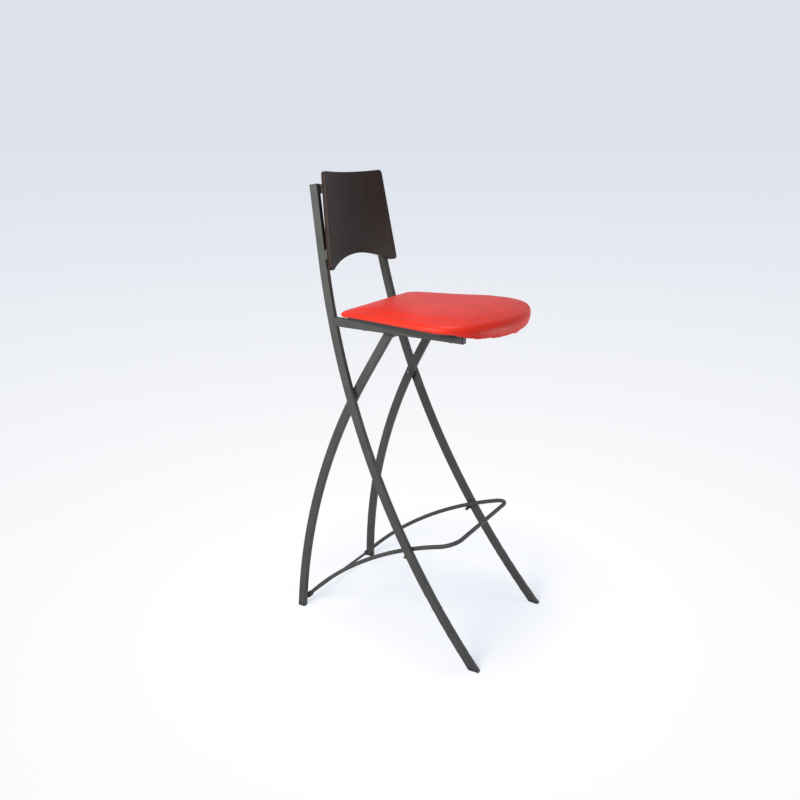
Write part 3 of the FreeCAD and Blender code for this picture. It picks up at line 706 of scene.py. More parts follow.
@dataclass
class OuterFrame:
    """The uprights that become the front legs, with what is welded and bolted to them."""

    knuckle_top: float = 764.0
    knuckle_height: float = 20.0
    knuckle_root: float = 33.9
    knuckle_lean: float = 0.14
    knuckle_inset: float = 0.4
    knuckle_x: tuple[float, float] = (123.0, 137.0)
    pivot: tuple[float, float] = (86.4, 583.0)
    stud_radius: float = 4.0
    stud_recess: float = 0.8
    nut_gap: float = 0.6
    nut_radius: float = 6.5
    nut_flat: float = 3.4
    nut_height: float = 7.0
    nut_round: float = 0.5
    dome_share: float = 0.78
    dome_sink: float = 0.2
    plug_gap: float = 0.02
    plug_bevel: tuple[float, float] = (0.8, 0.1)
    pin: tuple[float, float] = (250.26, 231.8)
    pin_radius: float = 4.0
    pin_bead: float = 0.9
    bead_off: float = 0.2

    def build(self) -> None:
        """Builds and dresses the outer frame."""
        dress(COATED, "upright_left", "upright_right", "upright_caps", "back_rail_upper", "back_rail_lower",
              "seat_knuckles", "leg_studs", "footrest_pins")
        dress(PLASTIC, "front_glides", "leg_spacers")
        self.cap_nuts()
        self.stud_plugs()
        self.welds()

    def cap_nuts(self) -> None:
        """Domed hexagon nuts on the inner ends of the pivot studs."""
        bm = bmesh.new()
        face = REAR_SIDE.inner_x(*self.pivot) - self.nut_gap
        for centre, inward in zip(both_sides(side(*self.pivot, face)), both_sides(Vector((-1, 0, 0)))):
            place = Matrix.Translation(centre) @ facing(inward)
            made = bmesh.ops.create_circle(bm, segments=6, radius=self.nut_radius, cap_ends=True,
                                           matrix=place)
            hexagon = made["verts"][0].link_faces[0]
            grown = bmesh.ops.extrude_face_region(bm, geom=[hexagon])["geom"]
            top = [item for item in grown if isinstance(item, BMVert)]
            bmesh.ops.translate(bm, vec=inward * self.nut_flat, verts=top)
            edges = {edge for vert in top for edge in vert.link_edges}
            soften(bm, edges, self.nut_round)
            base = self.nut_flat - self.dome_sink
            dome = quarter(self.nut_radius * self.dome_share, self.nut_height - base, base)
            verts, chain = profile(bm, dome)
            lathe(bm, verts, chain, 32, place)
        Piece("pivot_cap_nuts", ZINC, Body.FRAME, Slot.ZINC, ("leg_cap_nuts",)).make(bm)

    def stud_plugs(self) -> None:
        """Ground and painted plug welds that close the recesses over the studs' outer ends."""
        bm = bmesh.new()
        outer = UPRIGHT_SIDE.outer_x(*self.pivot)
        for centre, normal in zip(both_sides(side(*self.pivot, outer)), both_sides(UPRIGHT_SIDE.normal)):
            place = Matrix.Translation(centre - normal * self.stud_recess) @ facing(normal)
            radius = self.stud_radius - self.plug_gap
            inset, fall = self.plug_bevel
            points = [(radius, 0.0), (radius, self.stud_recess - fall),
                      (radius - inset, self.stud_recess), (0.0, self.stud_recess)]
            verts, chain = profile(bm, points)
            lathe(bm, verts, chain, 32, place)
        Piece("stud_plug_welds", COATED, Body.FRAME, Slot.TUBE).make(bm)

    def welds(self) -> None:
        """Beads at the hinge knuckles, the footrest pins and the back rails."""
        bm = bmesh.new()
        bead = WeldBead()
        low, high = self.knuckle_x
        bottom = self.knuckle_top - self.knuckle_height
        for z in (self.knuckle_top - self.knuckle_inset, bottom + self.knuckle_inset):
            root = self.knuckle_root + (self.knuckle_top - z) * self.knuckle_lean
            bead.lines(bm, side(root, z, low), side(root, z, high))
        centre = side(*self.pin, UPRIGHT_SIDE.inner_x(*self.pin))
        WeldBead(radius=self.pin_bead).rings(bm, centre, UPRIGHT_SIDE.normal,
                                             self.pin_radius + self.bead_off)
        Backrest().welds(bm, bead)
        Piece("frame_welds", COATED, Body.FRAME, Slot.TUBE).make(bm)


@dataclass
class Backrest:
    """The bent panel, its two rails and the screws from behind."""

    top: tuple[float, float] = (-27.0, 1053.2)
    bend: tuple[float, float] = (0.0, 900.7)
    turn_t: float = 70.0
    turn: float = 3.0
    off: float = 7.3
    thick: float = 10.2
    radius: float = 450.0
    top_half: float = 112.2
    top_t: float = 177.9
    top_middle_t: float = 175.2
    low_half: float = 137.2
    low_t: float = -37.9
    arch_radius: float = 280.0
    arch_t: float = -10.4
    corner_top: float = 10.0
    corner_low: float = 8.0
    corner_arch: float = 22.0
    edge: float = 1.6
    strip: float = 6.0
    hung: float = 1.3
    rail_t: tuple[float, float] = (143.2, -1.0)
    rail_half: float = 10.0
    rail_thick: float = 5.0
    upper_back: float = -4.0
    tube_half: float = 10.0
    screw_x: float = 56.0
    screw_radius: float = 4.8
    screw_head: float = 2.5
    screw_off: float = 0.5
    upper_weld: tuple[float, float] = (1.0, 2.0)
    lower_weld: tuple[float, float] = (2.0, 12.0)

    def __post_init__(self) -> None:
        """Works out the directions of the uprights' straight tops and of the panel."""
        lean = math.atan2(self.bend[0] - self.top[0], self.top[1] - self.bend[1])
        turn = math.radians(self.turn)
        self.up = Vector((0, math.sin(lean), math.cos(lean)))
        self.out = Vector((0, -math.cos(lean), math.sin(lean)))
        self.panel_up = self.up * math.cos(turn) + self.out * math.sin(turn)
        self.panel_out = self.out * math.cos(turn) - self.up * math.sin(turn)

    def place(self, x: float, t: float, off: float) -> Vector:
        """Point from x, the height t along the uprights and the distance in front of them."""
        return side(*self.bend, x) + self.up * t + self.out * off

    def inner_x(self, t: float, off: float) -> float:
        """x of the uprights' inner faces at a height t and a distance in front."""
        foot = self.place(0, t, off)
        return UPRIGHT_SIDE.inner_x(BEND_Y - foot.y, foot.z)

    def panel_place(self, x: float, t: float, depth: float) -> Vector:
        """Point of the bent panel.

        Args:
            x: Distance from its middle, along its curve seen from above.
            t: Height along the uprights.
            depth: Distance in front of its curved back.

        Returns:
            The point, in millimetres.
        """
        flat = Matrix.Rotation(math.radians(-self.hung), 2) @ Vector((x, t - self.turn_t))
        off = self.off + self.radius - math.sqrt((self.radius - depth) ** 2 - flat.x ** 2)
        base = self.place(0, self.turn_t, 0)
        return base + Vector((flat.x, 0, 0)) + self.panel_up * flat.y + self.panel_out * off

    def build(self) -> None:
        """Builds the panel and the screws."""
        self.panel()
        self.screws()

    def outline(self, bm: BMesh) -> None:
        """Adds the flat outline in the XY plane, y as the height t: arcs by spin, corners by bevel.

        Args:
            bm: The mesh, which is empty.
        """
        dip = self.top_t - self.top_middle_t
        top_radius = (self.top_half ** 2 + dip ** 2) / (2 * dip)
        top_turn = 2 * math.asin(self.top_half / top_radius)
        drop = self.arch_radius - (self.arch_t - self.low_t)
        arch_half = math.sqrt(self.arch_radius ** 2 - drop ** 2)
        arch_turn = 2 * math.asin(arch_half / self.arch_radius)
        right = bm.verts.new((self.top_half, self.top_t, 0))
        bmesh.ops.spin(bm, geom=[right], cent=(0, self.top_middle_t + top_radius, 0), axis=(0, 0, -1),
                       angle=top_turn, steps=12)
        foot = bm.verts.new((-arch_half, self.low_t, 0))
        bmesh.ops.spin(bm, geom=[foot], cent=(0, self.arch_t - self.arch_radius, 0), axis=(0, 0, -1),
                       angle=arch_turn, steps=32)
        low_left = bm.verts.new((-self.low_half, self.low_t, 0))
        low_right = bm.verts.new((self.low_half, self.low_t, 0))

        def nearest(x: float, t: float) -> BMVert:
            """The vertex at a place."""
            return min(bm.verts, key=lambda vert: (vert.co - Vector((x, t, 0))).length)

        top_left = nearest(-self.top_half, self.top_t)
        arch_right = nearest(arch_half, self.low_t)
        for pair in ((top_left, low_left), (low_left, foot), (arch_right, low_right), (low_right, right)):
            bm.edges.new(pair)
        bmesh.ops.contextual_create(bm, geom=bm.edges[:])
        corners = [(self.top_half, self.top_t, self.corner_top),
                   (self.low_half, self.low_t, self.corner_low),
                   (arch_half, self.low_t, self.corner_arch)]
        for x, t, radius in corners:
            for vert in (nearest(x, t), nearest(-x, t)):
                rays = [(edge.other_vert(vert).co - vert.co) for edge in vert.link_edges]
                reach = radius / math.tan(rays[0].angle(rays[1]) / 2)
                bmesh.ops.bevel(bm, geom=[vert], offset=reach, offset_type="OFFSET", segments=8,
                                profile=0.5, affect="VERTICES", material=-1, clamp_overlap=False)

    def panel(self) -> None:
        """The panel: outline, thickness, eased edges, then bent and stood in place."""
        bm = bmesh.new()
        self.outline(bm)
        cuts = int(self.low_half / self.strip)
        for index in range(-cuts, cuts + 1):
            bmesh.ops.bisect_plane(bm, geom=bm.verts[:] + bm.edges[:] + bm.faces[:],
                                   plane_co=(index * self.strip + 0.01, 0, 0), plane_no=(1, 0, 0))
        grown = bmesh.ops.extrude_face_region(bm, geom=bm.faces[:])["geom"]
        front = [item for item in grown if isinstance(item, BMVert)]
        bmesh.ops.translate(bm, vec=(0, 0, self.thick), verts=front)
        bmesh.ops.recalc_face_normals(bm, faces=bm.faces)
        rims = [edge for edge in bm.edges if len(edge.link_faces) == 2
                and (abs(edge.link_faces[0].normal.z) > 0.9) != (abs(edge.link_faces[1].normal.z) > 0.9)]
        soften(bm, rims, self.edge, 3)
        unrolled = bm.loops.layers.uv.new("grain")
        ply = bm.verts.layers.float.new("ply")
        for face in bm.faces:
            for loop in face.loops:
                loop[unrolled].uv = loop.vert.co.xy * MM
        for vert in bm.verts:
            vert[ply] = vert.co.z / self.thick
            vert.co = self.panel_place(*vert.co)
        Piece("back_panel_bent", WENGE, Body.FRAME, Slot.STAINED, ("back_panel",)).make(bm, 50.0)

    def screws(self) -> None:
        """Four pan-head screws through the rails, with cross recesses."""
        bm = bmesh.new()
        for t in self.rail_t:
            for x in (-self.screw_x, self.screw_x):
                tilt = math.tan(math.radians(self.turn)) * (t - self.turn_t)
                off = self.off + tilt + x * x / (2 * self.radius) - self.rail_thick
                root = self.place(x, t, off)
                axis = self.place(0, self.turn_t, 0) + self.panel_up * (t - self.turn_t) \
                    + self.panel_out * (self.off + self.radius)
                outward = (root - axis).normalized()
                pan_head(bm, root + outward * self.screw_off, outward, self.screw_radius,
                         self.screw_head)
        Piece("back_panel_screws", BLACKENED, Body.FRAME, Slot.DARK, ("back_screws",)).make(bm)

    def welds(self, bm: BMesh, bead: WeldBead) -> None:
        """Beads where the ends of the rails meet the uprights.

        Args:
            bm: The mesh that takes the beads.
            bead: The bead.
        """
        upper, lower = self.rail_t
        back, front = self.upper_weld
        for half in (-self.rail_half, self.rail_half):
            t = upper + half
            x = self.inner_x(t, 0)
            bead.lines(bm, self.place(x, t, self.upper_back + back), self.place(x, t, self.off - front))
        for half in (-self.rail_half, self.rail_half):
            t = lower + half
            x = self.inner_x(t, self.tube_half)
            start, end = (self.place(x + way, t, self.tube_half) for way in self.lower_weld)
            bead.lines(bm, start, end)


def carve(body: Mesh, cutter: BMesh) -> Mesh:
    """Cuts one mesh out of another.

    Args:
        body: Mesh that is cut.
        cutter: What is taken away, which is freed.

    Returns:
        The cut mesh.
    """
    piece = stand("body", body)
    tool = stand("cutter", mesh_of(cutter, "cutter"))
    cut = piece.modifiers.new("cut", "BOOLEAN")
    cut.object = tool
    cut.operation = "DIFFERENCE"
    cut.solver = "MANIFOLD"
    result = evaluated(piece)
    for item in (piece, tool):
        bpy.data.objects.remove(item)
    return result


@lru_cache(maxsize=None)
def pan_head_mesh(radius: float, height: float) -> Mesh:
    """Makes a pan head with a cross recess, its seat at the origin and its top along +Z.

    Args:
        radius: Radius of the head.
        height: Height of the head.

    Returns:
        The mesh.
    """
    bm = bmesh.new()
    rim = height * 0.35
    points = [(0.0, 0.0), (radius, 0.0)] + quarter(radius, height - rim, rim)
    verts, edges = profile(bm, points)
    lathe(bm, verts, edges, 28, Matrix.Identity(4))
    bmesh.ops.recalc_face_normals(bm, faces=bm.faces)
    arm = (radius * 1.05, radius * 0.24, height * 1.1)
    # the second arm stands a hair higher, so that no faces of the two lie in one plane
    across = Matrix.Translation((0, 0, height + 0.01)) @ Matrix.Rotation(math.pi / 2, 4, "Z")
    cross = bmesh.new()
    block(cross, arm, Matrix.Translation((0, 0, height)))
    block(cross, arm, across)
    return carve(mesh_of(bm, "head"), cross)


def pan_head(bm: BMesh, seat: Vector, outward: Vector, radius: float, height: float) -> None:
    """Adds a pan head.

    Args:
        bm: The mesh.
        seat: Middle of the face that it sits on.
        outward: Direction of its top.
        radius: Its radius.
        height: Its height.
    """
    before = set(bm.verts)
    bm.from_mesh(pan_head_mesh(radius, height))
    fresh = [vert for vert in bm.verts if vert not in before]
    bmesh.ops.transform(bm, matrix=Matrix.Translation(seat) @ facing(outward), verts=fresh)


@dataclass
class RearFrame:
    """The rear legs with their cross members."""

    top: tuple[float, float] = (171.4, 734.4)
    top_radius: float = 8.0
    rod: tuple[float, float] = (-61.2, 20.5)
    rod_radius: float = 3.5
    bead_off: float = 0.3

    def build(self) -> None:
        """Dresses the rear frame and lays its beads."""
        dress(COATED, "rear_leg_left", "rear_leg_right", "top_cross_tube", "lower_cross_rod")
        dress(PLASTIC, "rear_leg_tops", "rear_glides")
        bm = bmesh.new()
        bead = WeldBead()
        for place, radius in ((self.top, self.top_radius), (self.rod, self.rod_radius)):
            centre = side(*place, REAR_SIDE.inner_x(*place))
            bead.rings(bm, centre, REAR_SIDE.normal, radius + self.bead_off)
        Piece("rear_frame_welds", COATED, Body.REAR, Slot.TUBE).make(bm)


@dataclass
class Footrest:
    """The looped rod and its two eyes."""

    hinge: tuple[float, float] = (-61.2, 20.5)
    rear_x: float = 134.0
    eye_radius: float = 7.0
    rod_radius: float = 5.0
    heading: tuple[float, float] = (0.66, 0.75)
    bead: float = 1.2
    bead_sink: float = 0.6
    bead_off: float = 0.2

    def build(self) -> None:
        """Dresses the footrest and lays the beads round its eyes."""
        dress(COATED, "footrest_rod", "footrest_eyes")
        bm = bmesh.new()
        run = Vector((0, -self.heading[0], self.heading[1])).normalized()
        centre = side(*self.hinge, self.rear_x) + run * (self.eye_radius - self.bead_sink)
        WeldBead(radius=self.bead).rings(bm, centre, run, self.rod_radius + self.bead_off)
        Piece("footrest_welds", COATED, Body.FOOTREST, Slot.TUBE).make(bm)


def along(place: float, stops: Sequence[tuple[float, float]]) -> float:
    """Value at a place between stops, eased so that its slope has no kinks.

    Args:
        place: The place.
        stops: Places in rising order with their values.

    Returns:
        The value.
    """
    for (start, low), (end, high) in zip(stops, stops[1:]):
        if place < end:
            part = min(max((place - start) / (end - start), 0.0), 1.0)
            return low + (high - low) * part * part * (3 - 2 * part)
    return stops[-1][1]


@dataclass
class Seat:
    """The padded seat: cushion over a board, on two rails with a cross tube."""

    voxel: float = 3.5
    skin_voxel: float = 4.4
    slack: float = 2.0
    swell: float = 4.5
    bulge: tuple[float, float] = (2.0, 3.8)
    pressure: float = 4.0
    frames: int = 20
    board_bottom: float = 764.0
    board_thick: float = 10.0
    board_play: float = 0.05
    pad_bottom: float = 769.0
    lip_top: float = 772.0
    wide_z: float = 775.2
    side_band: tuple[float, float] = (8.0, 16.0)
    crown_band: float = 12.0
    lower_edge: tuple[tuple[float, float], ...] = (
        (60, 0), (130, 3.5), (270, 3.5), (350, 0), (405, -5), (434, -7))
    crown: tuple[tuple[float, float], ...] = ((60, 0), (180, 1), (300, 3), (400, 2.5), (434, 1))
    underside: float = -0.5
    free_above: float = -0.4
    fold_above: float = -0.6
    fold_waves: tuple[float, float, float] = (5.5, 17.0, 25.0)
    fold_reach: float = 9.0
    fold_depth: float = 0.9
    lining_thick: float = 0.4
    staple_inset: float = 16.0
    staple_pitch: float = 26.0
    staple: tuple[float, float, float] = (10.0, 0.9, 0.7)
    staple_drop: float = 0.2
    staple_clear: float = 6.0
    rail_x: tuple[float, float] = (123.0, 137.0)
    rail_z: tuple[float, float] = (744.0, 764.0)
    rail_front: float = 368.5
    cap_thick: float = 2.5
    cap_groove: float = 0.6
    cap_plug: float = 18.0
    cap_gap: float = 3.3
    tube: tuple[float, float] = (330.0, 754.0)
    tube_radius: float = 8.0
    bead_off: float = 0.3
    screw_s: tuple[float, float] = (120.0, 338.0)
    screw_radius: float = 4.0
    screw_head: float = 2.0
    screw_sink: float = 0.02

    def build(self) -> None:
        """Builds and dresses the seat."""
        dress(COATED, "seat_rail_left", "seat_rail_right", "seat_cross_tube", "seat_hinge_pins")
        dress(PLASTIC, "seat_saddles")
        dress(BIRCH, "seat_board")
        self.cushion()
        self.lining()
        self.staples()
        self.rail_caps()
        self.screws()
        self.welds()

    def cushion(self) -> None:
        """The pad: the frame's solid remeshed, drawn in, blown up as cloth and creased a little."""
        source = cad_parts["seat_pad"].data.copy()
        bm = bmesh.new()
        bm.from_mesh(source)
        bmesh.ops.remove_doubles(bm, verts=bm.verts, dist=0.02 * MM)
        bmesh.ops.recalc_face_normals(bm, faces=bm.faces)
        solid = BVHTree.FromBMesh(bm)
        bm.to_mesh(source)
        bm.free()
        pad = stand("seat_cushion", source)
        self.remesh(pad, self.voxel)
        self.relax(pad, 2)
        self.fit(pad, solid)
        for vert, normal in [(vert, vert.normal.copy()) for vert in pad.data.vertices]:
            if normal.z > self.underside:
                vert.co -= normal * self.slack * MM
        self.inflate(pad)
        self.relax(pad, 3)
        self.fit(pad, solid)
        self.settle(pad)
        self.remesh(pad, self.skin_voxel)
        self.relax(pad, 2)
        self.relax(pad, 5, self.lip_top)
        self.pull_folds(pad)
        self.relax(pad, 1)
        level = pad.modifiers.new("smooth", "SUBSURF")
        level.levels = 1
        level.render_levels = 1
        self.apply(pad)
        mesh = pad.data
        mesh.polygons.foreach_set("use_smooth", [True] * len(mesh.polygons))
        Piece("seat_cushion", RED, Body.SEAT, Slot.LEATHERETTE, ("seat_pad",)).finished(pad)

    def fit(self, pad: Object, solid: BVHTree) -> None:
        """Brings the skin back to the frame's solid, within what the foam may bulge.

        Args:
            pad: The cushion.
            solid: Surface of the solid.
        """
        for vert in pad.data.vertices:
            place, normal, _, _ = solid.find_nearest(vert.co)
            if normal is None:
                continue
            out = (vert.co - place).dot(normal)
            low, high = self.bulge if normal.z > self.free_above else (0.0, 0.0)
            vert.co = place + normal * min(max(out, low * MM), high * MM)
        pad.data.update()

    def remesh(self, pad: Object, size: float) -> None:
        """Gives the pad an even mesh with no folds through itself.

        Args:
            pad: The cushion.
            size: Size of the mesh's squares in millimetres.
        """
        even = pad.modifiers.new("remesh", "REMESH")
        even.mode = "VOXEL"
        even.voxel_size = size * MM
        self.apply(pad)

    def apply(self, piece: Object) -> None:
        """Replaces a piece's mesh by what its modifiers make of it.

        Args:
            piece: The piece.
        """
        made = evaluated(piece)
        piece.modifiers.clear()
        piece.data = made

    def inflate(self, pad: Object) -> None:
        """Blows the pad up as cloth with its underside held, and caps how far each point moves.

        Args:
            pad: The cushion.
        """
        held = pad.vertex_groups.new(name="held")
        under = [v.index for v in pad.data.vertices if v.normal.z < self.underside]
        held.add(under, 1.0, "REPLACE")
        cloth = pad.modifiers.new("cloth", "CLOTH")
        cloth.settings.quality = 5
        cloth.settings.mass = 0.3
        cloth.settings.tension_stiffness = 20.0
        cloth.settings.compression_stiffness = 20.0
        cloth.settings.bending_stiffness = 8.0
        cloth.settings.use_pressure = True
        cloth.settings.uniform_pressure_force = self.pressure
        cloth.settings.vertex_group_mass = "held"
        cloth.settings.effector_weights.gravity = 0.0
        scene = bpy.context.scene
        for number in range(1, self.frames + 1):
            scene.frame_set(number)
        graph = bpy.context.evaluated_depsgraph_get()
        blown = [vert.co.copy() for vert in pad.evaluated_get(graph).data.vertices]
        pad.modifiers.clear()
        scene.frame_set(1)
        cap = self.swell * MM
        for vert, goal in zip(pad.data.vertices, blown):
            step = goal - vert.co
            if step.length > cap:
                step = step.normalized() * cap
            vert.co += step
        pad.data.update()

    def relax(self, pad: Object, times: int, below: float = math.inf) -> None:
        """Smooths the remesher's steps out of the skin.

        Args:
            pad: The cushion.
            times: How often.
            below: Height in millimetres above which the skin stays as it is.
        """
        bm = bmesh.new()
        bm.from_mesh(pad.data)
        low = [vert for vert in bm.verts if vert.co.z < below * MM]
        for _ in range(times):
            bmesh.ops.smooth_vert(bm, verts=low, factor=0.5, use_axis_x=True, use_axis_y=True,
                                  use_axis_z=True)
        bm.to_mesh(pad.data)
        bm.free()

    def settle(self, pad: Object) -> None:
        """Lifts the crown and the lower edge of the sides a little, and lets the front lip hang.

        Args:
            pad: The cushion.
        """
        reach, band = self.side_band
        for vert in pad.data.vertices:
            s = BEND_Y - vert.co.y / MM
            z = vert.co.z / MM
            low = min(max((self.wide_z + reach - z) / band, 0.0), 1.0)
            high = min(max((z - self.wide_z) / self.crown_band, 0.0), 1.0)
            vert.co.z += (along(s, self.lower_edge) * low + along(s, self.crown) * high) * MM
        pad.data.update()

    def pull_folds(self, pad: Object) -> None:
        """Short shallow folds that run in from the lower edge, where the cover is stapled under.

        Args:
            pad: The cushion.
        """
        coarse, fine, upward = self.fold_waves
        for vert in pad.data.vertices:
            height = vert.co.z - self.pad_bottom * MM
            if vert.normal.z < self.fold_above:
                continue
            turn = math.atan2(vert.co.x, -vert.co.y)
            spread = noise.noise(Vector((turn * coarse, 0.3, 0.0)))
            fold = noise.noise(Vector((turn * fine, height * upward, 4.0)))
            reach = math.exp(-(height / (self.fold_reach * MM)) ** 2)
            vert.co += vert.normal * fold * (0.3 + abs(spread)) * reach * self.fold_depth * MM
        pad.data.update()

    def board_loop(self, height: float) -> BMesh:
        """Makes a face in the outline of the seat board.

        Args:
            height: Its height in millimetres.

        Returns:
            The bmesh, in millimetres.
        """
        bm = bmesh.new()
        bm.from_mesh(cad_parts["seat_board"].data)
        bmesh.ops.remove_doubles(bm, verts=bm.verts, dist=0.02 * MM)
        level = self.board_bottom + self.board_thick * 0.4
        bmesh.ops.bisect_plane(bm, geom=bm.verts[:] + bm.edges[:] + bm.faces[:], plane_co=(0, 0, level * MM),
                               plane_no=(0, 0, 1), clear_outer=True, clear_inner=True)
        bmesh.ops.remove_doubles(bm, verts=bm.verts, dist=0.05 * MM)
        start = min(bm.verts, key=lambda vert: vert.co.y)
        loop = linked([start])
        bmesh.ops.delete(bm, geom=[vert for vert in bm.verts if vert not in loop], context="VERTS")
        bmesh.ops.contextual_create(bm, geom=bm.edges[:])
        bmesh.ops.scale(bm, vec=(1 / MM, 1 / MM, 1 / MM), verts=bm.verts)
        for vert in bm.verts:
            vert.co.z = height
        return bm

    def lining(self) -> None:
        """Black non-woven lining under the board, turned up round its edge. The lining underneath is real;
        the turned-up black wall is painted shade, standing in for the shadow in the gap between the pad and
        the rails.
        """
        bm = self.board_loop(self.board_bottom - self.board_play)
        rim = [edge for edge in bm.edges if edge.is_boundary]
        # painted shade: this black wall round the board's edge darkens the gap above the rails, where there
        # is only shadow
        walls = bmesh.ops.extrude_edge_only(bm, edges=rim)["geom"]
        raised = [item for item in walls if isinstance(item, BMVert)]
        bmesh.ops.translate(bm, vec=(0, 0, self.board_thick - 2 * self.board_play), verts=raised)
        bmesh.ops.recalc_face_normals(bm, faces=bm.faces)
        bmesh.ops.solidify(bm, geom=bm.faces[:], thickness=-self.lining_thick)
        Piece("seat_lining_and_gap_shade", PLASTIC, Body.SEAT, Slot.PLASTIC).make(bm)

    def staples(self) -> None:
        """Staples along the edge of the lining."""
        bm = self.board_loop(self.board_bottom - self.lining_thick - self.staple_drop)
        bmesh.ops.inset_region(bm, faces=bm.faces[:], thickness=self.staple_inset, use_even_offset=True)
        inside = max(bm.faces, key=lambda face: face.calc_area())
        points = [loop.vert.co.copy() for loop in inside.loops]
        bm.free()
        made = bmesh.new()
        left, right = self.rail_x[0] - self.staple_clear, self.rail_x[1] + self.staple_clear
        walked = 0.0
        due = self.staple_pitch / 2
        for a, b in zip(points, points[1:] + points[:1]):
            run = b - a
            while run.length and due <= walked + run.length:
                place = a + run.normalized() * (due - walked)
                due += self.staple_pitch
                if left < abs(place.x) < right and place.y > BEND_Y - self.rail_front:
                    continue
                turn = Matrix.Rotation(math.atan2(run.y, run.x) + 0.25 * noise.noise(place * 0.1), 4, "Z")
                block(made, self.staple, Matrix.Translation(place) @ turn, 0.25)
            walked += run.length
        Piece("lining_staples", BLACKENED, Body.SEAT, Slot.DARK).make(made)

    def rail_caps(self) -> None:
        """Plastic caps in the front ends of the rails: a rounded plate, a groove and a plug."""
        bm = bmesh.new()
        wide = self.rail_x[1] - self.rail_x[0]
        tall = self.rail_z[1] - self.rail_z[0]
        x = sum(self.rail_x) / 2
        z = sum(self.rail_z) / 2
        plate = self.cap_thick - self.cap_groove
        for sign in (-1, 1):
            front = side(self.rail_front + self.cap_thick - plate / 2, z, sign * x)
            block(bm, (wide, plate, tall), Matrix.Translation(front), 0.85)
            inner = side(self.rail_front + self.cap_groove - self.cap_plug / 2, z, sign * x)
            plug = (wide - self.cap_gap, self.cap_plug, tall - self.cap_gap)
            block(bm, plug, Matrix.Translation(inner), 0.5)
        Piece("rail_end_caps", PLASTIC, Body.SEAT, Slot.PLASTIC, ("seat_rail_caps",)).make(bm, 60.0)

    def screws(self) -> None:
        """Pan-head screws up through the rails."""
        bm = bmesh.new()
        x = sum(self.rail_x) / 2
        for s in self.screw_s:
            for sign in (-1, 1):
                seat = side(s, self.rail_z[0] + self.screw_sink, sign * x)
                pan_head(bm, seat, Vector((0, 0, -1)), self.screw_radius, self.screw_head)
        Piece("seat_screw_heads", ZINC, Body.SEAT, Slot.ZINC, ("seat_screws",)).make(bm)

    def welds(self) -> None:
        """Beads round the ends of the cross tube."""
        bm = bmesh.new()
        for centre in both_sides(side(*self.tube, self.rail_x[0])):
            WeldBead().ring(bm, centre, Vector((1, 0, 0)), self.tube_radius + self.bead_off)
        Piece("seat_welds", COATED, Body.SEAT, Slot.TUBE).make(bm)


@dataclass(frozen=True)
class Lamp:
    """A square area light, in metres and watts."""

    name: str
    place: tuple[float, float, float]
    target: tuple[float, float, float]
    size: float
    power: float
    colour: str

    def hang(self) -> None:
        """Hangs the lamp and points it at its target."""
        data = bpy.data.lights.new(self.name, "AREA")
        data.energy = self.power
        data.size = self.size
        data.color = linear(self.colour)[:3]
        lamp = stand(self.name, data)
        lamp.location = self.place
        lamp.rotation_euler = (Vector(self.target) - Vector(self.place)).to_track_quat("-Z", "Y").to_euler()


# a broad key on the left side, a soft light overhead and a weak one in front
LAMPS = (Lamp("key", (-1.6, 0.35, 1.35), (0.0, 0.0, 0.8), 0.9, 36.0, "FFFDF8"),
         Lamp("overhead", (0.0, 0.0, 2.9), (0.0, 0.0, 0.0), 0.35, 21.0, "FFFFFF"),
         Lamp("front", (0.8, -1.7, 0.2), (0.0, -0.2, 0.75), 0.9, 20.0, "FFFDFB"))


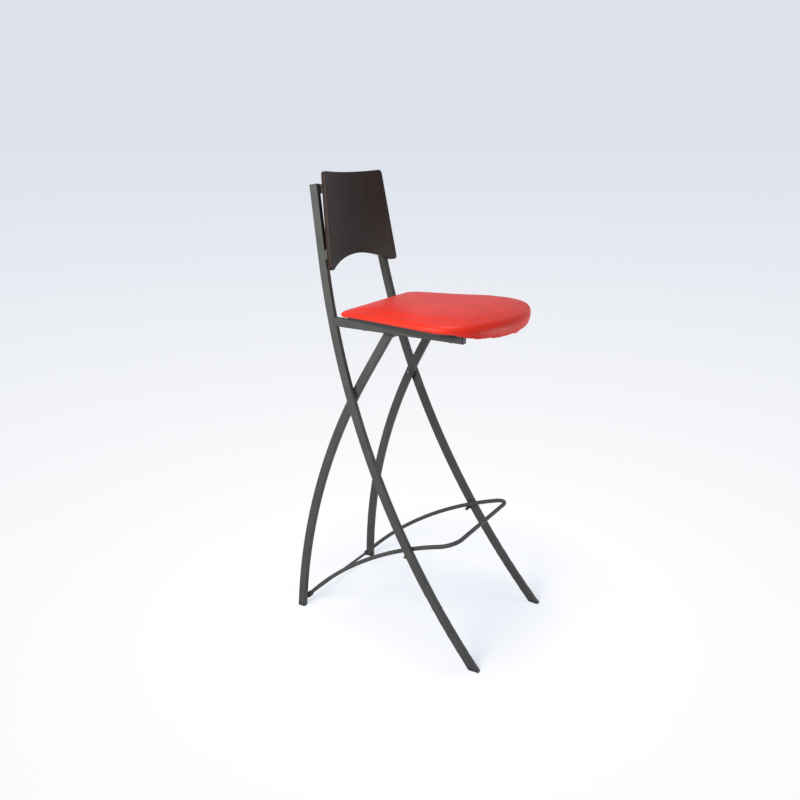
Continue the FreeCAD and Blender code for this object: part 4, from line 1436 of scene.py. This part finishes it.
@dataclass
class Studio:
    """Floor, world, lamps and camera, in metres."""

    lens: float = 37.476
    sensor: float = 36.0
    camera: tuple[float, float, float] = (-1.6295, -0.9597, 1.1638)
    forward: tuple[float, float, float] = (0.8083, 0.5025, -0.3068)
    shift: float = 0.000625
    clip_end: float = 300.0
    floor_radius: float = 60.0
    far_tone: str = "DCE1EB"
    near_tone: str = "FFFFFF"
    glow: str = "CFD7E2"
    skin: str = "B0A69C"
    bounce: str = "E4E6E9"
    near_zone: tuple[float, float] = (0.36, 0.66)
    fade_start: float = 0.6
    fade_offset: float = 2.49
    fade_depth: float = 2.5
    sky: str = "E6ECF6"
    sky_strength: float = 0.22

    def build(self) -> None:
        """Sets the whole studio up."""
        bpy.context.scene.view_settings.view_transform = "Standard"
        self.place_camera()
        self.lay_floor()
        self.light_world()
        for lamp in LAMPS:
            lamp.hang()

    def place_camera(self) -> None:
        """Camera at the angle from which the stool was seen."""
        data = bpy.data.cameras.new("camera")
        data.lens = self.lens
        data.sensor_width = self.sensor
        data.shift_x = -self.shift
        data.shift_y = self.shift
        data.clip_end = self.clip_end
        camera = stand("camera", data)
        camera.location = self.camera
        camera.rotation_euler = Vector(self.forward).to_track_quat("-Z", "Y").to_euler()
        bpy.context.scene.camera = camera

    def backdrop_rays(self, tree: Tree) -> Node:
        """Marks the rays that show the backdrop: from the camera, mirrored or through glass.

        Args:
            tree: Tree that takes the nodes.

        Returns:
            Node whose value is 1 for those rays and 0 for others.
        """
        path = tree.add("LightPath").outputs
        gloss = tree.add("Math", {"operation": "MAXIMUM"},
                         {0: path["Is Glossy Ray"], 1: path["Is Transmission Ray"]})
        return tree.add("Math", {"operation": "MAXIMUM"}, {0: path["Is Camera Ray"], 1: gloss})

    def lay_floor(self) -> None:
        """A pale floor, white near the stool and cooler far away, that keeps the stool's shadow."""
        bm = bmesh.new()
        bmesh.ops.create_circle(bm, segments=96, radius=self.floor_radius, cap_ends=True)
        floor = stand("floor", mesh_of(bm, "floor"))
        tree = Tree(bpy.data.materials.new("painted_floor"))
        place = tree.add("TexCoord").outputs["Object"]
        radius = tree.add("VectorMath", {"operation": "LENGTH"}, {0: place}).outputs["Value"]
        beyond = tree.add("Math", {"operation": "SUBTRACT", 1: self.fade_start}, {0: radius})
        kept = tree.add("Math", {"operation": "MAXIMUM", 1: 0.0}, {0: beyond})
        depth = tree.add("Math", {"operation": "ADD", 1: self.fade_offset}, {0: kept})
        share = tree.add("Math", {"operation": "DIVIDE", 0: self.fade_depth}, {1: depth})
        tone = tree.add("ValToRGB", {"stops": ((0.0, self.far_tone), (1.0, self.near_tone))}, {"Fac": share})
        inner, outer = self.near_zone
        zone = {"interpolation_type": "SMOOTHSTEP", "From Min": inner, "From Max": outer,
                "To Min": 1.0, "To Max": 0.0}
        near = tree.add("MapRange", zone, {"Value": radius})
        glow = tree.add("Emission", {"Color": linear(self.glow)})
        skin = tree.add("BsdfDiffuse", {"Color": linear(self.skin)})
        lit = tree.add("AddShader", links={0: glow, 1: skin})
        far = tree.add("Emission", links={"Color": tone})
        seen = tree.add("MixShader", links={0: near, 1: far, 2: lit})
        bounce = tree.add("BsdfDiffuse", {"Color": linear(self.bounce)})
        mix = tree.add("MixShader", links={0: self.backdrop_rays(tree), 1: bounce, 2: seen})
        floor.data.materials.append(tree.surface(mix))

    def light_world(self) -> None:
        """A soft, slightly cool sky for the light, and the far tone where it is seen."""
        world = bpy.data.worlds.new("studio")
        bpy.context.scene.world = world
        tree = Tree(world, "OutputWorld")
        sky = tree.add("Background", {"Color": linear(self.sky), "Strength": self.sky_strength})
        seen = tree.add("Background", {"Color": linear(self.far_tone)})
        tree.surface(tree.add("MixShader", links={0: self.backdrop_rays(tree), 1: sky, 2: seen}))


def main() -> None:
    """Builds the studio and the stool, one sub-assembly after another."""
    logging.basicConfig(level=logging.INFO, format="%(message)s", force=True)
    for assembly in (Studio(), OuterFrame(), Backrest(), RearFrame(), Seat(), Footrest()):
        assembly.build()


if __name__ == "__main__":
    main()
